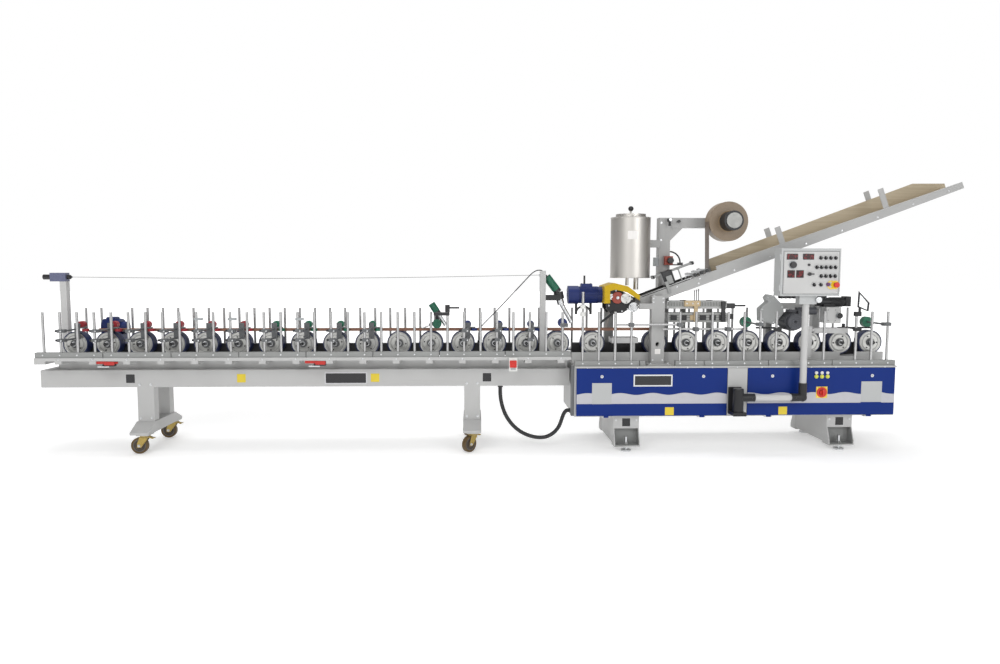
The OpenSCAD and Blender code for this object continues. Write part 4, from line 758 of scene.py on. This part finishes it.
# Drive wheels: three cap screws and a dark ring on each disc, a rim on the hub and the shaft's end
for number, x in enumerate(OUTFEED_X + INFEED_X, 1):
    trim = Form(f"wheel_screws_{number:02d}", f"wheel_{number:02d}")
    for turn in (0.5, 0.5 + math.tau / 3, 0.5 + 2 * math.tau / 3):
        turn += number * 0.9
        trim.cap_screw((x + SCREW_CIRCLE * math.cos(turn), WHEEL_FACE_Y,
                        AXIS_Z + SCREW_CIRCLE * math.sin(turn)), FRONT, 11)
    trim.turned((x, WHEEL_FACE_Y - 50, AXIS_Z), FRONT,
                [(0, -0.3), (12.4, -0.3), (12.4, 0.6), (10.5, 1.8), (4, 1.8), (3, -1), (0, -1)], BLACK)
    trim.turned((x, WHEEL_FACE_Y, AXIS_Z), FRONT, [(62, 0), (66, 0), (66, 0.6), (62, 0.6)], MID_GREY, 48)
    trim.turned((x, WHEEL_FACE_Y - 19.2, AXIS_Z), FRONT, boss(20, 2.4, 1, 0.8, 13), STEEL)
    trim.done()

# Casters: nuts on the wheel bolts, hub rings and the crown's ball race
CASTER_TRAIL, CASTER_AXLE_Z, CROWN_Z = 40, 62.5, 133.4
CASTERS = product(((760, 0.0), (3253, math.pi / 4)), (-270, 270))
for number, ((x, heading), y) in enumerate(CASTERS, 1):
    turn = Matrix.Rotation(heading, 3, "Z")
    middle = Vector((x, y, 0))
    hub = middle + turn @ Vector((-CASTER_TRAIL, 0, CASTER_AXLE_Z))
    fork = Form(f"caster_trim_{number}", f"fork_{number}")
    ring = Form(f"caster_hub_{number}", f"roller_{number}")
    for side in (-1, 1):
        out = turn @ Vector((0, side, 0))
        fork.screw(hub + out * 23.2, out, 15)
        ring.turned(hub + out * 13.8, out, [(12, 0), (40, 0), (42, 2.0), (38, 2.4), (34, 0.8), (20, 0.8),
                                            (17, 2.2), (12, 2.2)], BROWN_IRON, 40)
    fork.turned(middle + Vector((0, 0, CROWN_Z)), DOWN,
                [(0, 0), (37, 0), (38.5, 2), (38.5, 6), (35, 9), (14, 10), (0, 10)], ZINC, 36)
    fork.done()
    ring.done()

# Outfeed bench: screws, levers of the toggle clamps, bare plate and patches on the beam, start button
bench = Form("bench_trim")
for x in OUTFEED_X:
    bench.screw((x, -BAR_END_Y, BAR_SCREW_Z), FRONT, 10)
    bench.screw((x, BAR_END_Y, BAR_SCREW_Z), BACK, 10)
for x, dx in product((738, 3248), (-42, 42)):
    bench.screw((x + dx, BEAM_FRONT_Y, 515), FRONT, 14)
    bench.screw((x + dx, -BEAM_FRONT_Y, 515), BACK, 14)
    bench.screw((x + dx, BEAM_FRONT_Y, 255), FRONT, 14)
for x in TOGGLE_X:
    bench.plate((x + 118, -324, 699), FRONT, slab(78, 28, 8), 16, RED, 2)
    bench.plate((x + 112, -308, 685), FRONT, slab(92, 17, 4), 28, BLACK, 1.5)
    bench.plate((x + 72, -312, 673), FRONT, slab(86, 9, 2), 22, STEEL, 1)
for x, material in ((628, PLATE_BLACK), (1469, PATCH), (2495, PATCH), (3364, PLATE_BLACK)):
    bench.plate((x, BEAM_FRONT_Y, 562), FRONT, slab(66, 66, 4), 0.5, material)
bench.plate((2270, BEAM_FRONT_Y, 560), FRONT, slab(328, 92, 5), 1.6, PLATE_EDGE, 0.6)
bench.plate((2270, BEAM_FRONT_Y - 1.4, 560), FRONT, slab(310, 76, 3), 1.0, PLATE_BLACK, 0.3)
START_X, START_Y = 3558.5, -372
bench.plate((START_X, START_Y, 690), FRONT, slab(52, 54, 5), 10, RED_PLASTIC, 3)
bench.turned((START_X, START_Y - 10, 690), FRONT, boss(15, 10, 2, 2), RED_PLASTIC, 28)
bench.plate((START_X, START_Y, 652), FRONT, slab(40, 16, 3), 2.5, GREY_PLASTIC, 0.8)
bench.done()

# Rod tips, ground round; the rows leave out the rods that the real ones lack
TIP = [(10, -0.3), (10, 0.2), (8.6, 1.5), (0, 1.7)]
tips = Form("rod_tips")
for i in range(32):
    x = ROD_X0 + ROD_STEP * i
    tips.turned((x, -ROW_Y, ROD_TOP), UP, TIP, ROD, 20)
    if i not in (2, 24, 31):
        tips.turned((x, ROW_Y, ROD_TOP), UP, TIP, ROD, 20)
for i in (0, 1, 2, 3, 6, 7, 8, 9, 10, 11, 12, 15, 17, 18, 19):
    x = BASE_X + ROD_X0 + ROD_STEP * i
    if i != 17:
        tips.turned((x, -ROW_Y, ROD_TOP if i else ROD_TOP + 150), UP, TIP, ROD, 20)
    tips.turned((x, ROW_Y, ROD_TOP), UP, TIP, ROD, 20)
tips.done()

# Press units: knurled clamp knobs and socket screws
knobs = Form("clamp_knobs")
for i in (*range(1, 21, 2), 25, 27, 29):
    x = ROD_X0 + ROD_STEP * i
    for z in (940, 870):
        knobs.plate((x - 16, -ROW_Y - 4, z), LEFT, finned(7, 10, 1.6), 20, BLACK_PLASTIC, 2)
        knobs.cap_screw((x + 26, -352, z), FRONT, 12, STEEL)
    knobs.cap_screw((x + 26, -24, 976), FRONT, 8, STEEL)
knobs.done()

# Tank: rolled rims, the seam and a bare patch; the lid's knob and rim
tank = Form("tank_trim")
for z in (1339, 1806):
    tank.turned((TANK_X, FEED_Y, z), UP, [(154, -3), (157.5, -2.4), (158.6, 0), (157.5, 2.4), (154, 3)],
                TANK_STEEL, 72)
tank.plate((TANK_X + 66, FEED_Y + 141, 1573), (0.42, 0.9, 0), slab(6, 458, 2), 1.2, TANK_STEEL, 0.4)
angles = [math.radians(-96 + 3.4 * (k - 4)) for k in range(9)]
tank.skin([[(TANK_X + 155.5 * math.cos(a), FEED_Y + 155.5 * math.sin(a), z) for a in angles]
           for z in (1636, 1700)], LABEL, False, False)
tank.done()
lid = Form("lid_trim", "lid")
lid.turned((TANK_X, FEED_Y, 1834), UP, [(0, 0), (14, 0), (14, 5), (9, 7), (9, 12), (0, 12)], STEEL, 6)
lid.turned((TANK_X, FEED_Y, 1811), UP, [(116.5, 0.6), (118.6, 1.6), (119.2, 5), (118.6, 8), (116.5, 9)],
           TANK_STEEL, 72)
lid.done()

# Coating head and its motor: fins, fan cover, screws, roller and the guard's front lip
BOX_X = BASE_X + 125
head = Form("coating_head_trim")
head.plate((BASE_X + 66, FEED_Y, 1201), RIGHT, finned(64.5, 40, 5, 0.2), 150, NAVY)
head.turned((BASE_X - 22, FEED_Y, 1201), LEFT,
            [(0, 0), (16, 0), (18, 2), (24, 2), (26, 0.3), (32, 0.3), (34, 2), (41, 2), (43, 0.3), (50, 0.3),
             (52, 2), (62, 2), (70, -3), (71.8, -9)], NAVY, 40)
head.plate((BOX_X, FEED_Y, 1285), UP, slab(86, 56, 6), 5, NAVY, 1.5)
for dx, dy in product((-36, 36), (-21, 21)):
    head.cap_screw((BOX_X + dx, FEED_Y + dy, 1290), UP, 6)
for dx, z in ((290, 1120), (290, 1225), (345, 1238), (470, 1172), (440, 1092), (395, 1075)):
    head.screw((BASE_X + dx, -150, z), FRONT, 10)
head.turned((BASE_X + 420, -170, 1177), FRONT, boss(9, 8, 2, 2), STEEL, 6)
for turn in (0.6, 2.7, 4.8):
    head.cap_screw((BASE_X + 420 + 29 * math.cos(turn), -176, 1177 + 29 * math.sin(turn)), FRONT, 8)
    head.cap_screw((BASE_X + 480 + 29 * math.cos(turn), -180, 1108 + 29 * math.sin(turn)), FRONT, 8)
head.turned((BASE_X + 480, -196, 1108), FRONT, [(0, 0), (14, 0), (14, 6), (12, 8), (5, 8), (4, 4), (0, 4)],
            STEEL, 6)
head.turned((BASE_X + 355, -180, 1182), FRONT, boss(10, 3, 2, 1), STEEL, 24)
head.turned((BASE_X + 355, -150, 1182), FRONT, boss(46, 15, 2, 2), BRICK, 48)
head.turned((BASE_X + 309, -150, 1190), FRONT,
            [(0, 0), (25, 0), (25, 9), (22, 12), (9, 12), (9, 18), (0, 18)], STEEL, 32)
LIP = [(248, 1139), (248, 1271), (321, 1297), (429.6, 1271), (524, 1201), (524, 1162), (425, 1224),
       (335, 1246), (292, 1236), (292, 1139)]
head.plate((BASE_X, -189, 0), FRONT, LIP, 5, YELLOW)
head.done()

# Drive of the outfeed bench: fins and the cover of its terminal box
drive = Form("gear_motor_trim")
drive.plate((292, 150, 930), RIGHT, finned(69.5, 40, 5, 0.2), 118, NAVY)
drive.plate((355, 150, 1012), UP, slab(64, 74, 5), 4, NAVY, 1.2)
drive.turned((470, 150, 930), RIGHT, [(0, 0), (46, 0), (46, 3), (40, 5), (14, 5), (12, 2), (0, 2)], NAVY, 32)
for x, z in product((325, 435), (735, 860)):
    drive.screw((x, 80, z), FRONT, 12, NAVY)
drive.done()

# Preheaters: grille bars, edge strips and screws
GRILLE = paint("grille_dark", (0.10, 0.10, 0.095), 0.5, (0.22, 0.22, 0.21), 0.1)
heater = Form("preheater_trim")
for k in range(38):
    x = BASE_X + 772 + 12.4 * k
    if not 892 < x - BASE_X < 1026:
        heater.plate((x, HEATER_Y + 0.2, 1131), FRONT, slab(4.5, 34, 2), 0.8, GRILLE, 0.3)
for z in (1002, 1022, 1042):
    heater.plate((BASE_X + 1010, HEATER_Y + 0.2, z), FRONT, slab(460, 4, 1.5), 0.8, GRILLE, 0.3)
for dxs, zs in (((768, 1232), (1112, 1149)), ((778, 1242), (993, 1052))):
    for dx, z in product(dxs, zs):
        heater.screw((BASE_X + dx, HEATER_Y, z), FRONT, 7)
for dx in (915, 960, 1002):
    heater.screw((BASE_X + dx, -132, 1135), FRONT, 9)
heater.done()

# Hot air guns: ribbed green grips, collars and nozzle rings
GUN_GREEN = plastic("gun_green", (0.008, 0.11, 0.06), 0.42, 0.06)
GUN_Y, RIB_STEP = -100, 11
guns = Form("gun_grips")


def gun_line(start, end):
    """The first of two points (x, z) in the guns' plane, and the way to the second."""
    a, b = (Vector((x, GUN_Y, z)) for x, z in (start, end))
    return a, b - a


def gun_grip(top, bottom, radius):
    """A ribbed grip."""
    start, along = gun_line(top, bottom)
    length = along.length
    profile = [(radius - 1.5, 0), (radius + 0.8, 1.5)]
    count = max(4, int(length / RIB_STEP))
    step = (length - 8) / count
    for k in range(count):
        a = 3 + (length - 8) * k / count
        profile += [(radius + 1.6, a), (radius + 1.6, a + step * 0.62), (radius + 0.5, a + step * 0.7),
                    (radius + 0.5, a + step * 0.95)]
    profile += [(radius + 1.2, length - 2), (radius - 1.5, length)]
    guns.turned(start, along.normalized(), profile, GUN_GREEN, 32)


gun_grip((3834, 1344.5), (3912, 1241.5), 31)
gun_grip((2931, 1133.5), (2972, 1070), 26)
for start, end, radius in (((3950, 1134), (4034, 985), 17), ((2985.4, 1049.4), (3040, 965), 15)):
    top, way = gun_line(start, end)
    for share, wide in ((0.12, 2.6), (0.5, 1.4), (0.96, 1.6)):
        ring = [(radius - 1, 0), (radius + wide, 0.6), (radius + wide, 6), (radius - 1, 6.8)]
        guns.turned(top + way * share, way.normalized(), ring, STEEL, 28)
guns.screw((3900, -122, 1182), FRONT, 13)
# Second tool under the small gun: a bar, a barrel towards the front and a nozzle over the profile
TOOL_X = 2975
guns.plate((TOOL_X, -92, 1030), FRONT, slab(30, 74, 4), 22, BLACK, 1.5)
guns.plate((TOOL_X, -92, 985), FRONT, slab(58, 46, 8), 30, MOTOR_GREY, 2)
guns.turned((TOOL_X, -118, 978), FRONT,
            [(0, 0), (32, 0), (35, 3), (35, 34), (31, 40), (13, 42), (13, 46), (0, 46)], GUN_GREEN, 36)
guns.sweep([(2952, -120, 982), (2915, -116, 966)], 26, BLACK, 20)
guns.sweep([(2920, -116.5, 968), (2885, -113, 954), (2858, -110, 945)], 15, STEEL, 18)
guns.done()

# Brush unit: motor jackets, fan cowl, hood screws and the cover of the white box
MOTOR_X, COVER_X = BASE_X + 1760, BASE_X + 2046
brush = Form("brush_trim")
brush.plate((MOTOR_X, -28, 992), FRONT, finned(68.5, 44, 5), 122, MOTOR_GREY)
brush.turned((MOTOR_X, -200, 992), FRONT,
             [(0, 0), (12, 0), (14, 1.8), (20, 1.8), (22, 0.2), (28, 0.2), (30, 1.8), (36, 1.8), (38, 0.2),
              (44, 0.2), (46, 1.8), (56, 1.8), (61, -4)], MOTOR_GREY, 40)
brush.plate((BASE_X + 2066, -105, 1146), RIGHT, finned(35.5, 26, 3.5), 104, BLACK)
brush.plate((MOTOR_X, -110, 1066), UP, slab(70, 60, 5), 22, MOTOR_GREY, 2)
for dx, z in ((1578, 1180), (1594, 1150), (1535, 1085), (1540, 1010), (1628, 985), (1676, 1030), (1694, 1105),
              (1625, 1180)):
    brush.screw((BASE_X + dx, -90, z), FRONT, 9)
brush.plate((COVER_X, -200, 1046), FRONT, slab(70, 96, 4), 2, WHITE, 0.6)
for dx, dz in product((-29, 29), (-42, 42)):
    brush.cap_screw((COVER_X + dx, -202, 1046 + dz), FRONT, 6)
for dx, z in product((1855, 1876), (720, 945)):
    brush.screw((BASE_X + dx, -215, z), FRONT, 8)
brush.plate((BASE_X + 2100, -222, 1043), FRONT, finned(20, 18, 1.6), 12, BLACK_PLASTIC, 1.5)
brush.done()

# Control box: bezels, plate screws, knobs, hinges, locks, the door's gasket and cable glands
PANEL_X, PANEL_Z, PANEL_Y, FACE_Y = 5535.0, 1207.0, -490.0, -493.3
SEAM = rubber("door_gasket", (0.03, 0.03, 0.03), 0.7)
panel = Form("panel_trim", "operator_panel")


def on_panel(x, z, out=0.0):
    """A point on the panel's face, from its lower left corner, and how far it stands out."""
    return PANEL_X + x, FACE_Y - out, PANEL_Z + z


for x, z, w, h in ((82, 292, 76, 36), (203, 292, 76, 36), (76, 164, 48, 48), (143, 164, 48, 48)):
    panel.plate(on_panel(x, z), FRONT, slab(w + 8, h + 8, 3), 3.4, BLACK_PLASTIC, 1)
for x, z in ((34, 30), (424, 30), (34, 317), (424, 317)):
    panel.cap_screw(on_panel(x, z), FRONT, 8, STEEL)
panel.plate(on_panel(87, 231), FRONT, finned(22, 20, 1.5), 20, BLACK_PLASTIC, 2)
panel.turned(on_panel(87, 231), FRONT, boss(31, 1.6, 2, 0.4, base=0.1), GREY_PLASTIC, 40)
for xs, z in (((293, 331, 368, 406), 283), ((266, 301, 336, 371, 406), 214), ((301, 336, 371, 406), 149),
              ((251, 301), 85)):
    for x in xs:
        panel.turned(on_panel(x, z), FRONT, boss(15.5, 5, 1.3, 1, base=0.1), STEEL, 28)
        panel.plate(on_panel(x, z + 8, 20.6), FRONT, slab(2.2, 8, 0.8), 0.5, WHITE_PLASTIC, 0.2)
panel.turned(on_panel(381, 84), FRONT, [(24, 2.6), (31, 2.6), (32, 3.4), (24, 3.4)], YELLOW_PLASTIC, 36)
for z in (60, 290):
    panel.turned((PANEL_X - 4, PANEL_Y + 6, PANEL_Z + z - 24), UP,
                 [(0, 0), (5, 0), (5.4, 1), (5.4, 47), (5, 48), (0, 48)], BOX_GREY, 20)
    panel.turned((PANEL_X + 450, PANEL_Y + 34, PANEL_Z + z), RIGHT,
                 [(0, 0), (11, 0), (11, 3), (9.5, 4.2), (4, 4.2), (3.2, 2), (0, 2)], STEEL, 24)
for z0, z1 in ((14.5, 16.5), (331, 333)):
    panel.plate((PANEL_X + 229, PANEL_Y, PANEL_Z + (z0 + z1) / 2), FRONT, slab(420, z1 - z0), 1.0, SEAM, 0.3)
for x in (18, 438.5):
    panel.plate((PANEL_X + x, PANEL_Y, PANEL_Z + 174), FRONT, slab(2, 318), 1.0, SEAM, 0.3)
for x, y in product((30, 62, 94, 126, 330, 362), (-20, 20)):
    panel.turned((PANEL_X + x, ARM_Y + y, PANEL_Z), DOWN,
                 [(0, 0), (12, 0), (12, 9), (10.5, 10), (10.5, 16), (7, 20), (0, 20)], BLACK_PLASTIC, 6)
panel.done()

# Arm: set screws and rubber rings on the sleeves
arm = Form("arm_trim", "arm")
for x in (ARM_X + 118, ARM_X + 411):
    arm.turned((x, ARM_Y, ARM_Z), RIGHT, [(27, 0), (31.6, 0.4), (31.6, 5), (27, 5.4)], BLACK_PLASTIC, 36)
for x in (ARM_X + 100, ARM_X + 435):
    arm.cap_screw((x, ARM_Y - 30, ARM_Z), FRONT, 9)
arm.turned((ARM_X + 495, ARM_Y, 541), UP, [(27, 0), (31.6, 0.4), (31.6, 4.5), (27, 5)], BLACK_PLASTIC, 36)
arm.turned((ARM_X, ARM_Y, 500), UP, boss(38, 6, 4, 3), BLACK_PLASTIC, 40)
arm.done()

# Doors: bare patches, lamps and slots of the locks; the main switch's ring
for side, lock_xs, patch_x in (("left", (4238, 5021), 4762), ("right", (5557, 6339), 5646)):
    door = Form(f"door_trim_{side}", f"{side}_door")
    for x in lock_xs:
        door.turned((x, DOOR_Y - 3.3, 588), FRONT, [(0, 0), (10, 0), (9, 1), (4, 1), (3.4, -0.4), (0, -0.4)],
                    STEEL, 24)
    door.plate((patch_x, DOOR_Y, 318), FRONT, slab(68, 62, 3), 0.6, PATCH)
    if side == "right":
        for x in LAMP_X:
            door.turned((x, DOOR_Y - 4, 583), FRONT, boss(15.4, 3.2, 1.9, 1.2, 11.4), LAMP, 28)
            door.turned((x, DOOR_Y, 611), FRONT, boss(12.5, 8, 3.5, 3), WHITE_PLASTIC, 28)
        for dx, dz in product((-36, 36), (-36, 36)):
            door.cap_screw((SWITCH_X + dx, DOOR_Y - 2.3, SWITCH_Z + dz), FRONT, 6, STEEL)
        door.turned((SWITCH_X, DOOR_Y - 2, SWITCH_Z), FRONT, boss(40, 7, 4, 3, 22.4), RED_PLASTIC, 48)
    door.done()

# Base: screws along the fascia, patches on the feet and the column, fittings of the post
base = Form("base_trim")
for k in range(13):
    x = BASE_X + 95 + 192.5 * k
    if abs(x - COLUMN_X) > 100:
        base.screw((x, FASCIA_Y, 656), FRONT, 8)
for x in FOOT_X:
    base.plate((x, -300, 223), FRONT, slab(62, 62, 3), 0.6, PLATE_BLACK)
    for dx in (-80, 80):
        base.screw((x + dx, -300, 240), FRONT, 12)
        base.screw((x + dx, 300, 240), BACK, 12)
for dx in (-68, 68):
    base.screw((COLUMN_X + dx, -290, 677), UP, 14)
base.plate((COLUMN_X, COLUMN_Y, 767), FRONT, slab(44, 40, 3), 0.5, LABEL)
for z, dx in product((700, 1150, 1180), (-38, 38)):
    base.screw((COLUMN_X + dx, COLUMN_Y, z), FRONT, 9)
for z in (690, 1640, 1780):
    base.screw((POST_X - 30, POST_Y, z), FRONT, 12)
base.turned((POST_X + 28, POST_Y - 60, 1800), FRONT,
            [(0, 0), (13, 0), (13, 3), (11, 6), (5, 6), (4, 3), (0, 3)], STEEL, 28)
base.plate((POST_X + 34, POST_Y - 66, 1475), FRONT, finned(24, 12, 2.2), 14, BLACK_PLASTIC, 3)
base.done()

# Trough: folded lips, side screws and the knobs of the nip rollers; places are along, y, up
trough = Form("trough_trim")
for y0, y1, up0, up1, x0, x1 in ((-161, -151, 100, 50, 650, 2700), (54, 62, 150, 150, 650, 2450),
                                 (54, 62, 150, 60, 2450, 2700)):
    rings = [[sloped(x, y, up + d) for y, d in ((y0, -1.5), (y1, -1.5), (y1, 1.5), (y0, 1.5))]
             for x, up in ((x0, up0), (x1, up1))]
    trough.skin([[Vector(q) for q in ring] for ring in rings], FRAME_GREY)
# Slide over the roller table: a carriage on the front guide bar holds two rods between end blocks
ALONG = (math.cos(SLOPE), 0, math.sin(SLOPE))
SQUARE = (-math.sin(SLOPE), 0, math.cos(SLOPE))
SLIDE_START, SLIDE_END, SLIDE_UP = 160, 500, 188
for start, length, y0, y1, up0, up1, material in (
        (232, 86, -138, -60, 88, 199, BLACK), (SLIDE_START, 14, -134, -74, 175, 201, BLACK),
        (SLIDE_END - 14, 14, -134, -74, 175, 201, BLACK), (255, 45, -150, -138, 96, 160, BAR_GREY),
        (228, 24, -170, -158, 30, 125, MID_GREY)):
    trough.plate(sloped(start, (y0 + y1) / 2, (up0 + up1) / 2), ALONG, slab(y1 - y0, up1 - up0, 2), length,
                 material, 1.5)
for y in (-120, -88):
    for x0, x1, d in ((SLIDE_START - 4, SLIDE_END + 6, 16), (SLIDE_START - 4, SLIDE_START, 24),
                      (SLIDE_END, SLIDE_END + 4, 24)):
        trough.sweep([sloped(x0, y, SLIDE_UP), sloped(x1, y, SLIDE_UP)], d, MID_GREY, 20)
trough.sweep([sloped(371, -130, 87), sloped(371, -130, SLIDE_UP)], 10, MID_GREY, 14)
trough.plate(sloped(364, -130, SLIDE_UP), ALONG, slab(18, 24, 3), 14, MID_GREY, 1)
for y, x in product((-118, -80), (246, 304)):
    trough.cap_screw(sloped(x, y, 199), SQUARE, 9)
for k in range(9):
    trough.screw(sloped(180 + 300 * k, -158, 22), FRONT, 10)
for k in range(3):
    trough.screw(sloped(120 + 190 * k, -158, 55), FRONT, 9)
for x in (470, 525, 572):
    trough.plate(sloped(x, -172, 96), FRONT, finned(12.5, 8, 2.4), 12, BLACK_PLASTIC, 2.5)
trough.done()

# Reel: the edge of its paper core
CORE = rubber("paper_core", (0.30, 0.21, 0.12), 0.8)
reel = Form("reel_trim", "reel")
reel.turned((REEL[0], -105, REEL[2]), FRONT, [(76.2, 0), (76.2, 1.2), (81, 1.2), (81.5, 0)], CORE, 60)
reel.done()

# Floor
stage = bpy.data.meshes.new("floor")
stage.from_pydata([(-40, -40, 0), (40, -40, 0), (40, 40, 0), (-40, 40, 0)], [], [(0, 1, 2, 3)])
floor = new_object("floor", stage)
FLOOR = Shader("floor_white", (0.90, 0.90, 0.90), 0.7, Emission_Color=(1, 1, 1, 1))
FLOOR.vary(0.01, 0.7)
reach = FLOOR.vector_math("LENGTH", FLOOR.coords)["Value"]
FLOOR.feed("Emission Strength", FLOOR.ramp(reach, 0.32, 1.0, 3.0, 9.0))
stage.materials.append(FLOOR.mat)
